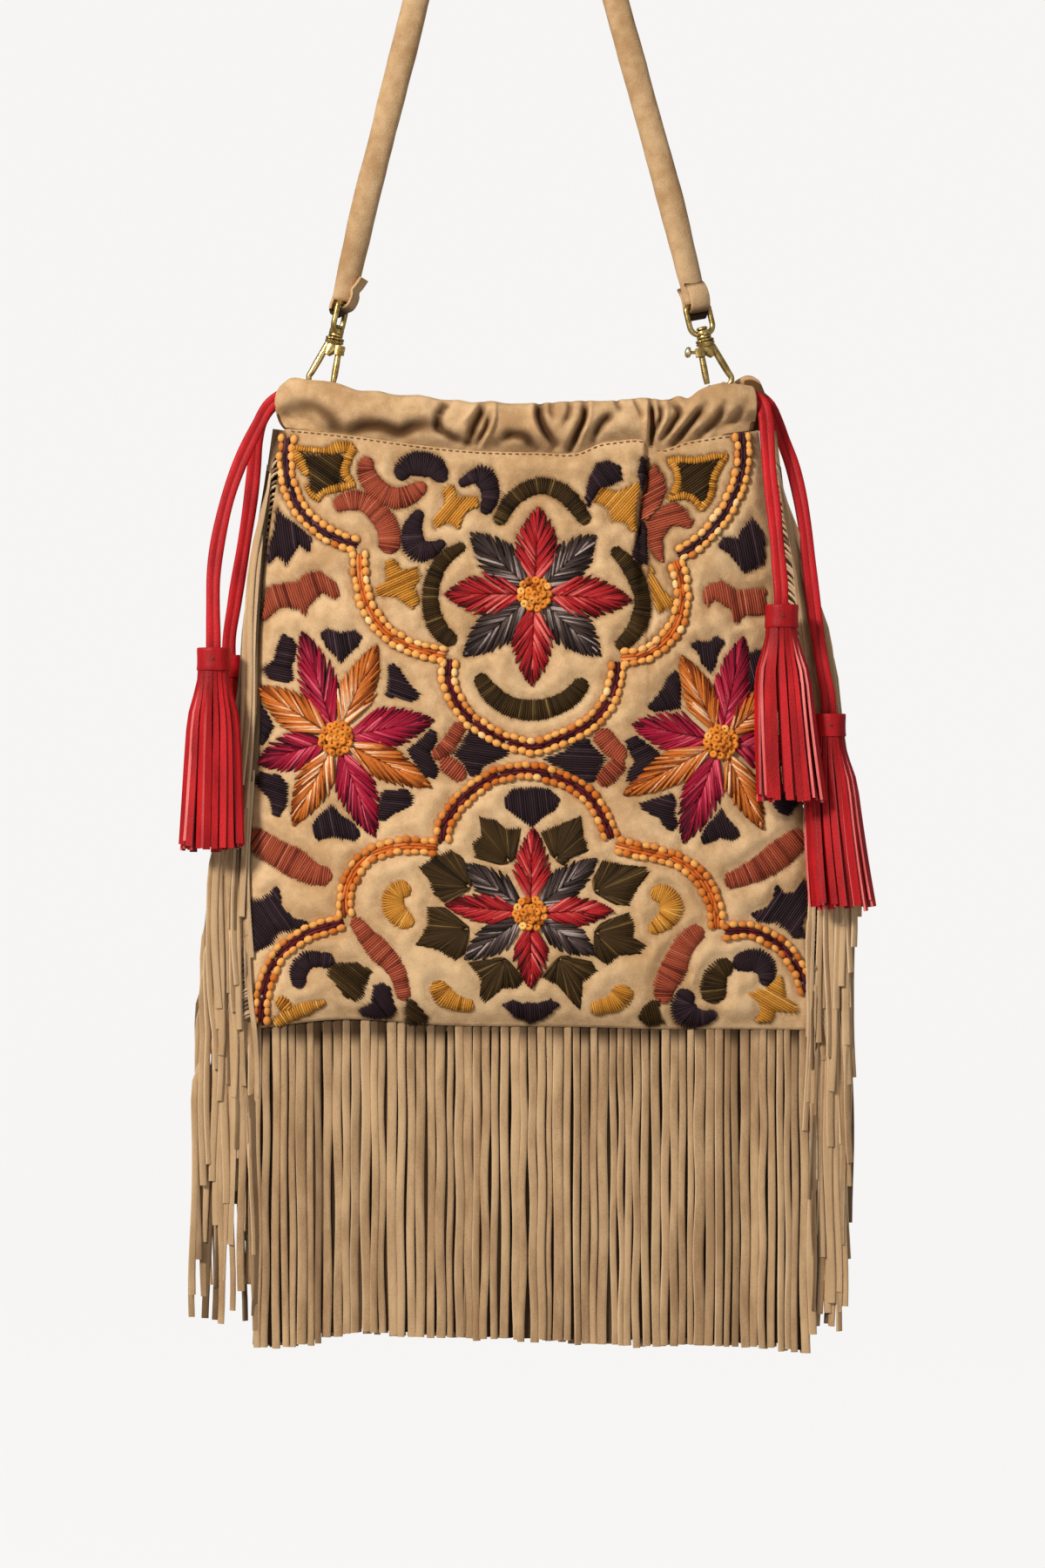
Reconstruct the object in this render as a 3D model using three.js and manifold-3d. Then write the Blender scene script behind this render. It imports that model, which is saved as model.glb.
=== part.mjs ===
// A suede shoulder bag hung by its strap: a flat pouch with a laced, gathered mouth, fringe in its side and
// bottom seams, four leather tassels on the laces, and a rolled strap on two brass swivel clips.
// Millimetres, +Z up, the front faces -Y. The origin is the underside of the strap where it hangs.

import * as THREE from "three";
import { mergeVertices } from "three/addons/utils/BufferGeometryUtils.js";
import Module from "manifold-3d";

const wasm = await Module();
wasm.setup();

const { lerp, smoothstep, degToRad } = THREE.MathUtils;
const AXIS_X = new THREE.Vector3(1, 0, 0);
const AXIS_Y = new THREE.Vector3(0, 1, 0);
const FRONT = -1;
const BACK = 1;

// Leather thicknesses and the clearance between pieces that touch
const WALL = 1.6;
const HEADER = 1.2;
const GAP = 0.3;
const SEAM = HEADER / 2 + GAP;

// Pouch walls by height: v is 0 at the bottom edge and 1 at the top edge, depth is the bow of one wall
const POUCH = [
  { v: 0.0, left: -149, right: 171, depth: 0 },
  { v: 0.03, left: -150, right: 171, depth: 7 },
  { v: 0.1, left: -151, right: 170.5, depth: 14 },
  { v: 0.26, left: -151.5, right: 169.5, depth: 18 },
  { v: 0.41, left: -149.5, right: 164.5, depth: 18 },
  { v: 0.56, left: -146.5, right: 158.5, depth: 17.5 },
  { v: 0.68, left: -145, right: 153.5, depth: 16.5 },
  { v: 0.8, left: -142, right: 149, depth: 15.5 },
  { v: 0.91, left: -136, right: 144, depth: 14 },
  { v: 1.0, left: -131.5, right: 140.5, depth: 13 },
];

// Bottom and top edge of the pouch walls by place across: u is -1 at the left seam and 1 at the right seam
const EDGES = [
  { u: -1, bottom: -771, top: -428 },
  { u: -0.7, bottom: -765.5, top: -433 },
  { u: -0.3, bottom: -769, top: -439 },
  { u: 0, bottom: -769.5, top: -440.5 },
  { u: 0.22, bottom: -770, top: -438.5 },
  { u: 0.45, bottom: -771, top: -433.5 },
  { u: 0.7, bottom: -771, top: -433 },
  { u: 1, bottom: -771.5, top: -428 },
];
const BOW_POWER = 0.8;
const BOW_LOW = 3;
const BOW_TOP = 8;
const BOW_CHANGE_FROM = 0.6;
const PANEL_COLUMNS = 18;
const PANEL_ROWS = 10;
const BACK_COLUMNS = 12;
const BACK_ROWS = 8;
const COLUMN_CROWDING = 0.9;
const ROW_CROWDING = 1.35;

// The fold that runs down the front wall from the mouth: its line and its depth
const FOLD = [
  { v: 0.6, x: 77, depth: 0 },
  { v: 0.72, x: 73, depth: 4 },
  { v: 0.86, x: 72, depth: 6 },
  { v: 0.95, x: 75, depth: 6 },
  { v: 0.965, x: 77, depth: 0 },
];
const FOLD_WIDTH = 7;
const FOLD_COLUMNS = [0.45, 0.49, 0.53];

// Casings: top edge and half thickness by place across
const CASING = [
  { x: -136, top: -401, puff: 4 },
  { x: -131, top: -399, puff: 4.6 },
  { x: -95, top: -401, puff: 6.5 },
  { x: -70, top: -406.5, puff: 7 },
  { x: -35, top: -410, puff: 7 },
  { x: 5, top: -412, puff: 7 },
  { x: 65, top: -409.5, puff: 7 },
  { x: 95, top: -408, puff: 7 },
  { x: 115, top: -404, puff: 6.2 },
  { x: 130, top: -400.5, puff: 4.8 },
  { x: 139, top: -400, puff: 4 },
];
const CASING_LEFT = -136;
const CASING_RIGHT = 139;
const BACK_CASING_RIGHT = 143;
const CASING_OVERLAP = 8;
const TAIL_HALF = 1.7;
const TAIL_GAP = 0.9;
const MOUTH_MIDDLE = 6.4;
const MOUTH_END = 0.9;
const MOUTH_SQUARENESS = 6;
const TAIL_TAPER_FROM = 0.8;
const TAIL_TAPER_TO = 0.865;

// Section of a casing from its sewn tail to its top: height share, and half thickness as a share of the puff
const CASING_SECTION = [
  { v: 0.0, share: 0, hollowV: 0.27, hollowShare: 0.12 },
  { v: 0.22, share: 0, hollowV: 0.33, hollowShare: 0.35 },
  { v: 0.5, share: 0.95, hollowV: 0.52, hollowShare: 0.95 },
  { v: 0.82, share: 0.8, hollowV: 0.78, hollowShare: 0.8 },
  { v: 1.0, share: 0, hollowV: 0.95, hollowShare: 0 },
];

// Gathers: the valleys along the casing, their half width, and their depth as a share of the room to the lace
const GATHERS = [
  { x: -108, width: 14, depth: 0.8 },
  { x: -84, width: 10, depth: 0.5 },
  { x: -61, width: 9, depth: 0.9 },
  { x: -47, width: 7, depth: 0.5 },
  { x: -34, width: 8, depth: 1.0 },
  { x: -16, width: 8, depth: 0.9 },
  { x: 3, width: 7, depth: 0.6 },
  { x: 17, width: 8, depth: 1.0 },
  { x: 30, width: 6, depth: 0.6 },
  { x: 40, width: 7, depth: 0.9 },
  { x: 55, width: 7, depth: 0.6 },
  { x: 76, width: 6, depth: 1.0 },
  { x: 90, width: 6, depth: 0.8 },
  { x: 103, width: 6, depth: 0.9 },
  { x: 114, width: 6, depth: 0.7 },
  { x: 127, width: 6, depth: 0.5 },
];
const BACK_GATHER_STEP = 3;

// Bottom fringe: a comb of strips whose ends follow this line
const BOTTOM_ENDS = [
  { x: -149, end: -955 },
  { x: -119, end: -950 },
  { x: -80, end: -947 },
  { x: -18, end: -949 },
  { x: 62, end: -954 },
  { x: 106, end: -953.5 },
  { x: 171, end: -958 },
];
const BOTTOM_STRIPS = 64;
const BOTTOM_HEADER_TOP = -757;
const BOTTOM_ROOT = -773.5;
const STRIP_GAP = 0.5;
const STRIP_SWAY = 1.4;
const STRIP_SWAY_RATE = 0.3;
const STRIP_WAVE = 2.5;
const STRIP_RAGGED = 4;
const STRIP_RAGGED_RATE = 2.4;

// Side fringe: how far a strip stands out from its seam by length, and how far it has spread to its lane
const DRIFT = [
  { along: -2, out: -2, spread: 0 },
  { along: 2, out: 2.6, spread: 0.05 },
  { along: 12, out: 9, spread: 0.4 },
  { along: 38, out: 14, spread: 1 },
  { along: 95, out: 20.5, spread: 1 },
  { along: 185, out: 30, spread: 1 },
];
const SIDE_STRIPS = 20;
const SIDE_LANES = [
  { y: 1, share: 1 },
  { y: -5, share: 0.42 },
  { y: 3, share: 0.72 },
  { y: -1, share: 0.95 },
  { y: 5, share: 0.38 },
  { y: -3, share: 0.66 },
];
const SIDE_STRIP_WIDTH = 3.2;
const SIDE_STRIP_THICK = 1;
const SIDE_RAGGED = 3;
const SIDE_RAGGED_RATE = 2.1;
const SIDE_ROOT_OUT = 2.6;
const SIDE_HEADER_IN = 6;
const SIDE_HEADER_OUT = 1.2;
const SIDE_HEADER_LOW = 0.05;
const SIDE_HEADER_HIGH = 0.94;
const SIDE_FIRST = 0.93;
const SIDE_LAST = 0.06;

// Laces: a flat folded strip, and the route of each free end from its casing down to its tassel
const LACE_WIDTH = 7.5;
const LACE_THICK = 2.6;
const LACE_SIDES = 6;
const LACE_RUN_POINTS = 7;
const LACE_HEIGHT = 0.6;
const LACE_ROUTES = {
  left_front: [
    [-139.7, -5.5, -413.5],
    [-146, -7.5, -425],
    [-153.5, -10, -440.5],
    [-161.5, -12, -461.5],
    [-167.5, -14, -485.5],
    [-171, -16, -511],
    [-171.2, -17.5, -532],
    [-171, -18, -547],
    [-171, -18, -553.7],
  ],
  left_back: [
    [-139.7, 5.5, -412.5],
    [-145.5, 7.5, -420.5],
    [-148.5, 10.5, -432],
    [-149.8, 12, -446],
    [-152, 13, -466],
    [-156, 14.5, -492],
    [-161.5, 16.5, -525],
    [-165, 18, -550],
    [-165, 18, -556.7],
  ],
  right_front: [
    [142.9, -5.5, -412.5],
    [145, -7.5, -419],
    [146, -11, -431],
    [147, -15, -452],
    [148.5, -20, -480],
    [150.5, -25, -506],
    [151.5, -29, -523],
    [151.5, -29, -529.7],
  ],
  right_back: [
    [146.8, 5.5, -413],
    [151, 6, -421.5],
    [155, 4.5, -433],
    [159.5, 1.5, -446],
    [163.5, -2, -463],
    [166.5, -5.5, -482],
    [169, -9, -507],
    [172, -11.5, -534],
    [176, -14, -563],
    [179.5, -15.5, -585],
    [179.5, -15.5, -591.2],
  ],
};

// Tassels: the top of each cap, the middle of the skirt's foot, and the foot's half width
const TASSELS = [
  { name: "left_front", x: -171, y: -18, top: -553, footX: -172.5, foot: -669.5, halfWidth: 17.5 },
  { name: "left_back", x: -165, y: 18, top: -556, footX: -167, foot: -664, halfWidth: 16 },
  { name: "right_front", x: 151.5, y: -29, top: -529, footX: 157.5, foot: -641.5, halfWidth: 18.5 },
  { name: "right_back", x: 179.5, y: -15.5, top: -590.5, footX: 188, foot: -703, halfWidth: 18 },
];
const CAP_RADIUS = 9.25;
const CAP_HEIGHT = 12.5;
const CAP_WALL = 1.3;
const CAP_SIDES = 10;
const CORE_DROP = 1;
const CORE_RADIUS = 7.2;
const CORE_LENGTH = 13.6;
const SKIRT_ROOT = { drop: 9, radius: 6 };
const SKIRT_LIP = { drop: 14.5, radius: 6.3 };
const SKIRT_FLARE = { drop: 34, share: 0.45, lean: 0.25 };
const SKIRT_STRIPS = 10;
const SKIRT_HALF_DEPTH = 7.9;
const SKIRT_INSET = 0.6;
const SKIRT_RAGGED = 3;
const SKIRT_STRIP_THICK = 1.2;
const SKIRT_STRIP_ROOT = 2.2;
const SKIRT_STRIP_FOOT = 6;

// Strap: half sizes of its rolled section, the route between the clips, and its flattened ends
const STRAP_HALF_WIDTH = 7.2;
const STRAP_HALF_THICK = 5.5;
const STRAP_END_WIDTH = 6.2;
const STRAP_END_THICK = 1.6;
const STRAP_TAPER = 24;
const STRAP_TWIST = 70;
const STRAP_SIDES = 8;
const STRAP_END_SHARES = [0, 0.008, 0.016, 0.024, 0.05, 0.09, 0.16, 0.26, 0.36, 0.44];
const STRAP_TOP_SHARES = [0.46, 0.475, 0.488];
const STRAP_END_UP = 26.5;
const STRAP_STRAIGHT_UP = 60;
const HANG_RADIUS = 16;
const HANG_POINTS = 5;
const HANG_SPREAD = 65;
const STRAP_SHOULDERS = { left: [-56, -180.5], right: [58.5, -180.5] };
const STRAP_NECKS = { left: [-17.8, -16], right: [17.8, -16] };

// Strap end tabs that fold through the clip rings
const TAB_HALF_WIDTH = 5.3;
const TAB_THICK = 2;
const TAB_FRONT_UPS = [40, 36, 31, 26];
const TAB_BACK_UPS = [26, 31, 35];
const TAB_SLACK = 0.2;
const BEND_POINTS = 7;

// Swivel clips: barrel middle, lean of the clip, turn of its hook and ring, and whether it has a thumb stud
const CLIPS = [
  { side: "left", x: -103, z: -376.5, lean: 12.5, hookTurn: 180, ringTurn: 62, stud: false },
  { side: "right", x: 110, z: -377.5, lean: -13.5, hookTurn: 0, ringTurn: 0, stud: true },
];
const RING_WIRE = 1.65;
const RING_HALF_WIDTH = 7.5;
const RING_BOTTOM = 5.5;
const RING_TOP = 21.9;
const RING_FOOT_CORNER = 5;
const RING_TOP_CORNER = 2;
const RING_ARC_STEPS = 1;
const BOSS = { radius: 4.2, bore: 2.2, low: 2.6, high: 7.3, sides: 12 };
const POST_HEAD = { radius: 3.2, thick: 1.8 };
const POST_RADIUS = 1.8;
const BARREL = { radius: 5.2, low: -0.6, footRadius: 4.2, foot: -1.9 };
const BRIDGE = { width: 6.9, depth: 6.4, height: 5.5, x: 1.55, z: -4.25 };
const WIRE_SIDES = 6;
const HOOK_WIRE = 1.7;
const HOOK_STEPS = 12;
const HOOK_LINE = [
  [3.2, -5],
  [6.8, -11.8],
  [10.2, -18.5],
  [10.5, -22],
  [8.6, -25.6],
  [4.4, -26.8],
  [-1, -26.9],
  [-3.6, -25.9],
  [-4.3, -24.3],
];
const PIVOT = { x: -4.6, z: -4.4 };
const PIN_RADIUS = 0.9;
const PIN_SIDES = 8;
const EYE = { radius: 2.1, bore: 1.25, halfWidth: 1.7, sides: 12, bite: 0.4 };
const EAR = { inner: 2.1, thick: 1, width: 5.5, height: 5.4, offsetX: 0.4, offsetZ: 0.2 };
const GATE_WIRE = 1.4;
const GATE_FOOT = { x: -4.3, z: -23 };
const STUD = { reach: 6.4, rise: 1.6, stem: 0.9, tilt: 60 };
const KNOB = { radius: 2.6, faceRadius: 2.08, thick: 3.6, sides: 8 };

// Suede tabs in the mouth that the hooks carry
const HANGER = { x: 4.4, z: -26.4, halfWidth: 1.6, thick: 1.5, bend: 2.8, flareDown: 11, reach: 18 };

const SUEDE = new THREE.MeshStandardMaterial({ color: 0xcdab7d, roughness: 0.95, metalness: 0 });
const FRINGE_SUEDE = new THREE.MeshStandardMaterial({ color: 0xb9966e, roughness: 0.95, metalness: 0 });
const RED_LEATHER = new THREE.MeshStandardMaterial({ color: 0xb01c2a, roughness: 0.5, metalness: 0 });
const BRASS = new THREE.MeshStandardMaterial({ color: 0x9a7a3c, roughness: 0.4, metalness: 1 });

// Reads a column of a table at a place between two of its rows.
function lookup(rows, key, at, column) {
  const above = rows.findIndex((row) => row[key] >= at);
  if (above === 0) {
    return rows[0][column];
  }
  if (above < 0) {
    return rows[rows.length - 1][column];
  }
  const low = rows[above - 1];
  const high = rows[above];
  return lerp(low[column], high[column], (at - low[key]) / (high[key] - low[key]));
}

// Merges shared vertices, drops empty triangles and turns the faces outward.
function closed(geometry) {
  geometry.deleteAttribute("normal");
  geometry.deleteAttribute("uv");
  const merged = mergeVertices(geometry, 1e-3);
  const place = merged.getAttribute("position");
  const corner = [new THREE.Vector3(), new THREE.Vector3(), new THREE.Vector3()];
  const triangles = [];
  let volume = 0;
  for (let i = 0; i < merged.index.count; i += 3) {
    const [a, b, c] = [0, 1, 2].map((k) => merged.index.getX(i + k));
    if (a === b || b === c || c === a) {
      continue;
    }
    [a, b, c].forEach((index, k) => corner[k].fromBufferAttribute(place, index));
    volume += corner[0].dot(corner[1].clone().cross(corner[2]));
    triangles.push([a, b, c]);
  }
  merged.setIndex(triangles.flatMap(([a, b, c]) => (volume < 0 ? [a, c, b] : [a, b, c])));
  return merged;
}

// Skins a row of rings of points. An open row gets end faces, a round row joins its last ring to its first.
function loft(rings, round = false) {
  const around = rings[0].length;
  const index = [];
  const spans = round ? rings.length : rings.length - 1;
  for (let i = 0; i < spans; i += 1) {
    const here = i * around;
    const next = ((i + 1) % rings.length) * around;
    for (let k = 0; k < around; k += 1) {
      const step = (k + 1) % around;
      index.push(here + k, here + step, next + step, here + k, next + step, next + k);
    }
  }
  if (!round) {
    const last = (rings.length - 1) * around;
    for (let k = 0; k < Math.floor((around - 1) / 2); k += 1) {
      const far = around - 1 - k;
      index.push(k, far, far - 1, k, far - 1, k + 1);
      index.push(last + k, last + far - 1, last + far, last + k, last + k + 1, last + far - 1);
    }
  }
  const geometry = new THREE.BufferGeometry();
  const points = rings.flat().flatMap((point) => point.toArray());
  geometry.setAttribute("position", new THREE.Float32BufferAttribute(points, 3));
  geometry.setIndex(index);
  return closed(geometry);
}

// Direction of a row of points at one of them.
function heading(points, i) {
  const before = points[Math.max(i - 1, 0)];
  const after = points[Math.min(i + 1, points.length - 1)];
  return after.clone().sub(before).normalize();
}

// A strip of rectangular section along points: one side of the section keeps the fixed direction.
function ribbon(points, fixed, halfFixed, halfStart, halfEnd = halfStart) {
  const rings = points.map((point, i) => {
    const half = lerp(halfStart, halfEnd, i / (points.length - 1));
    const across = heading(points, i).cross(fixed).normalize().multiplyScalar(half);
    const along = fixed.clone().multiplyScalar(halfFixed);
    return [
      point.clone().add(across).add(along),
      point.clone().sub(across).add(along),
      point.clone().sub(across).sub(along),
      point.clone().add(across).sub(along),
    ];
  });
  return loft(rings);
}

function polygon(halfX, halfY, sides) {
  const corners = Array.from({ length: sides }, (_, k) => {
    const angle = (2 * Math.PI * (k + 0.5)) / sides;
    return new THREE.Vector2(halfX * Math.cos(angle), halfY * Math.sin(angle));
  });
  return new THREE.Shape(corners);
}

// A bar of constant section along a smooth line through points.
function bar(points, section, steps) {
  const extrudePath = new THREE.CatmullRomCurve3(points);
  return closed(new THREE.ExtrudeGeometry(section, { steps, extrudePath, bevelEnabled: false }));
}

function turned(profile, sides) {
  const points = profile.map(([radius, height]) => new THREE.Vector2(radius, height));
  return closed(new THREE.LatheGeometry(points, sides).rotateX(Math.PI / 2));
}

function block(sizeX, sizeY, sizeZ, x, y, z) {
  return closed(new THREE.BoxGeometry(sizeX, sizeY, sizeZ).translate(x, y, z));
}

function solidOf(geometry) {
  const vertProperties = new Float32Array(geometry.getAttribute("position").array);
  const triVerts = new Uint32Array(geometry.index.array);
  return new wasm.Manifold(new wasm.Mesh({ numProp: 3, vertProperties, triVerts }));
}

function geometryOf(solid) {
  const mesh = solid.getMesh();
  const geometry = new THREE.BufferGeometry();
  geometry.setAttribute("position", new THREE.Float32BufferAttribute(mesh.vertProperties, 3));
  geometry.setIndex(Array.from(mesh.triVerts));
  return geometry;
}

function fuse(geometries) {
  return geometryOf(geometries.map(solidOf).reduce((whole, piece) => whole.add(piece)));
}

function cut(geometry, tool) {
  return geometryOf(solidOf(geometry).subtract(solidOf(tool)));
}

function node(name, geometry, material) {
  const mesh = new THREE.Mesh(geometry, material);
  mesh.name = name;
  return mesh;
}

// Half depth of the mouth between the casings.
function mouthGap(x) {
  const middle = (CASING_LEFT + CASING_RIGHT) / 2;
  const across = Math.min(Math.abs((x - middle) / (CASING_RIGHT - middle)), 1);
  return lerp(MOUTH_MIDDLE, MOUTH_END, across ** MOUTH_SQUARENESS);
}

// How far the fold sinks the front wall.
function foldDepth(x, v) {
  const offset = (x - lookup(FOLD, "v", v, "x")) / FOLD_WIDTH;
  return lookup(FOLD, "v", v, "depth") * Math.exp(-offset * offset);
}

// A point of a pouch wall, inset from its outer face.
function wallPoint(u, v, side, inset) {
  const left = lookup(POUCH, "v", v, "left");
  const right = lookup(POUCH, "v", v, "right");
  const x = lerp(left, right, (u + 1) / 2);
  const z = lerp(lookup(EDGES, "u", u, "bottom"), lookup(EDGES, "u", u, "top"), v);
  const squareness = lerp(BOW_LOW, BOW_TOP, smoothstep(v, BOW_CHANGE_FROM, 1));
  const bow = (1 - Math.abs(u) ** squareness) ** BOW_POWER;
  const fold = side === FRONT ? foldDepth(x, v) : 0;
  const depth = SEAM + WALL - inset + bow * (lookup(POUCH, "v", v, "depth") - fold);
  return new THREE.Vector3(x, side * depth, z);
}

// Places across a wall, closer together towards the seams and, in front, at the fold.
function wallColumns(side, count) {
  const reach = (Math.PI / 2) * COLUMN_CROWDING;
  const even = Array.from({ length: count + 1 }, (_, i) => lerp(-reach, reach, i / count))
    .map((turn) => Math.sin(turn) / Math.sin(reach));
  const folds = side === FRONT ? FOLD_COLUMNS : [];
  return [...even, ...folds].sort((a, b) => a - b);
}

function pouchWall(side, columns, rows) {
  const rings = wallColumns(side, columns).map((u) => {
    const heights = Array.from({ length: rows + 1 }, (_, j) => (j / rows) ** ROW_CROWDING);
    const outer = heights.map((v) => wallPoint(u, v, side, 0));
    const inner = heights.map((v) => wallPoint(u, v, side, WALL));
    return [...outer, ...inner.reverse()];
  });
  return loft(rings);
}

// Where a casing's sewn tail begins and where the casing tops out.
function casingSpan(x, right) {
  const u = (2 * (x - POUCH.at(-1).left)) / (POUCH.at(-1).right - POUCH.at(-1).left) - 1;
  const across = Math.abs(lerp(-1, 1, (x - CASING_LEFT) / (right - CASING_LEFT)));
  const seam = lookup(EDGES, "u", u, "top");
  const overlap = lerp(CASING_OVERLAP, -2 * GAP, smoothstep(across, TAIL_TAPER_FROM, TAIL_TAPER_TO));
  const wall = Math.abs(wallPoint(THREE.MathUtils.clamp(u, -1, 1), 1, BACK, WALL).y);
  return {
    bottom: seam - overlap,
    top: lookup(CASING, "x", x, "top"),
    puff: lookup(CASING, "x", x, "puff"),
    tail: Math.max(wall - TAIL_GAP - TAIL_HALF, TAIL_HALF + GAP),
  };
}

// Distance from the middle plane to the middle of a casing at a share of its height.
function casingMiddle(x, v, span) {
  return lerp(span.tail, mouthGap(x) + span.puff, smoothstep(v, CASING_SECTION[1].v, CASING_SECTION[2].v));
}

function gatherDepth(x, span, gathers) {
  const room = Math.max(span.puff - WALL - LACE_THICK / 2 - GAP, 0);
  const share = gathers.map((row) => row.depth * Math.exp(-(((x - row.x) / row.width) ** 2)));
  return room * Math.max(...share);
}

// One loop of a casing's section at a place across, outside or round its hollow.
function casingLoop(x, side, right, gathers, hollow) {
  const span = casingSpan(x, right);
  const half = CASING_SECTION.map((row) => {
    const v = hollow ? row.hollowV : row.v;
    const thick = hollow ? row.hollowShare * (span.puff - WALL) : Math.max(row.share * span.puff, TAIL_HALF);
    const tip = row === CASING_SECTION.at(-1);
    return { v, thick: tip ? 0 : thick, dent: row.share * gatherDepth(x, span, gathers) };
  });
  const place = (row, face) => {
    const middle = casingMiddle(x, row.v, span);
    const depth = middle + face * row.thick - (face > 0 ? row.dent : 0);
    return new THREE.Vector3(x, side * depth, lerp(span.bottom, span.top, row.v));
  };
  const outside = half.map((row) => place(row, 1));
  const inside = half.slice(0, -1).map((row) => place(row, -1));
  return [...outside, ...inside.reverse()];
}

function casing(side, right, gathers) {
  const stations = [CASING_LEFT];
  for (const x of [...gathers.map((row) => row.x), right]) {
    stations.push((stations.at(-1) + x) / 2, x);
  }
  const outer = stations.map((x) => casingLoop(x, side, right, gathers, false));
  const inner = stations.map((x) => casingLoop(x, side, right, gathers, true));
  const around = outer[0].map((_, k) => [
    ...outer.map((ring) => ring[k]),
    ...inner.map((ring) => ring[k]).reverse(),
  ]);
  return loft(around, true);
}

function bottomFringe() {
  const first = POUCH[0].left + SIDE_HEADER_IN + 1;
  const last = POUCH[0].right - SIDE_HEADER_IN - 1;
  const start = POUCH[0].left;
  const pitch = (POUCH[0].right - start) / BOTTOM_STRIPS;
  const outline = [];
  for (let i = 0; i < BOTTOM_STRIPS; i += 1) {
    const left = start + i * pitch + STRIP_GAP / 2;
    const right = left + pitch - STRIP_GAP;
    const sway = STRIP_SWAY * Math.sin(i * STRIP_SWAY_RATE);
    const ragged = STRIP_RAGGED * (0.5 + 0.5 * Math.sin(i * STRIP_RAGGED_RATE));
    const end = lookup(BOTTOM_ENDS, "x", left, "end") + ragged;
    outline.push([left, BOTTOM_ROOT], [left + sway, end], [right + sway, end + 1], [right, BOTTOM_ROOT]);
  }
  const root = BOTTOM_ROOT + HEADER;
  outline.push([POUCH[0].right, root], [last, root], [last, BOTTOM_HEADER_TOP], [first, BOTTOM_HEADER_TOP]);
  outline.push([first, root], [start, root]);
  const shape = new THREE.Shape(outline.map(([x, z]) => new THREE.Vector2(x, z)));
  const geometry = new THREE.ExtrudeGeometry(shape, { depth: HEADER, bevelEnabled: false, steps: 1 });
  const place = geometry.getAttribute("position");
  for (let i = 0; i < place.count; i += 1) {
    const drop = BOTTOM_ROOT - place.getY(i);
    const wave = drop > 1 ? STRIP_WAVE * Math.sin(place.getX(i)) : 0;
    place.setZ(i, place.getZ(i) - HEADER / 2 + wave);
  }
  return closed(geometry.rotateX(Math.PI / 2));
}

function seamX(v, side) {
  return lookup(POUCH, "v", v, side < 0 ? "left" : "right");
}

function seamZ(v, side) {
  return lerp(lookup(EDGES, "u", side, "bottom"), lookup(EDGES, "u", side, "top"), v);
}

// Strips leave the side seam sideways, turn down, and drift outward as they hang.
function sideFringe(side) {
  const header = POUCH.map((row) => THREE.MathUtils.clamp(row.v, SIDE_HEADER_LOW, SIDE_HEADER_HIGH))
    .filter((v, i, all) => i === 0 || v > all[i - 1])
    .map((v) => {
      const inner = seamX(v, side) - side * SIDE_HEADER_IN;
      const outer = seamX(v, side) + side * SIDE_HEADER_OUT;
      const z = seamZ(v, side);
      const half = HEADER / 2;
      return [
        new THREE.Vector3(inner, -half, z),
        new THREE.Vector3(outer, -half, z),
        new THREE.Vector3(outer, half, z),
        new THREE.Vector3(inner, half, z),
      ];
    });
  const strips = Array.from({ length: SIDE_STRIPS }, (_, i) => {
    const v = lerp(SIDE_FIRST, SIDE_LAST, i / (SIDE_STRIPS - 1));
    const lane = SIDE_LANES[i % SIDE_LANES.length];
    const ragged = SIDE_RAGGED * Math.sin(i * SIDE_RAGGED_RATE);
    const points = DRIFT.map((row, k) => {
      const length = Math.max(k === DRIFT.length - 1 ? row.along + ragged : row.along, 0);
      const root = Math.min(row.out, SIDE_ROOT_OUT);
      const out = root + lane.share * (row.out - root);
      const x = seamX(v - length / (seamZ(1, side) - seamZ(0, side)), side) + side * out;
      return new THREE.Vector3(x, lane.y * row.spread, seamZ(v, side) - length);
    });
    return ribbon(points, AXIS_Y, SIDE_STRIP_THICK / 2, SIDE_STRIP_WIDTH / 2);
  });
  return fuse([loft(header), ...strips]);
}

// The stretch of a lace that lies inside its casing.
function laceRun(side, right) {
  const points = Array.from({ length: LACE_RUN_POINTS }, (_, i) => {
    const x = lerp(CASING_LEFT + 2 * GAP, right - 2 * GAP, i / (LACE_RUN_POINTS - 1));
    const span = casingSpan(x, right);
    const z = lerp(span.bottom, span.top, LACE_HEIGHT);
    return new THREE.Vector3(x, side * casingMiddle(x, LACE_HEIGHT, span), z);
  });
  return bar(points, polygon(LACE_WIDTH / 2, LACE_THICK / 2, LACE_SIDES), points.length);
}

function laceEnd(route) {
  const points = route.map((place) => new THREE.Vector3(...place));
  return bar(points, polygon(LACE_THICK / 2, LACE_WIDTH / 2, LACE_SIDES), points.length);
}

function tasselCap() {
  const inner = CAP_RADIUS - CAP_WALL;
  const ring = [
    [inner, 0],
    [inner, -CAP_HEIGHT],
    [CAP_RADIUS, -CAP_HEIGHT],
    [CAP_RADIUS, 0],
    [inner, 0],
  ];
  return turned(ring, CAP_SIDES);
}

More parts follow.
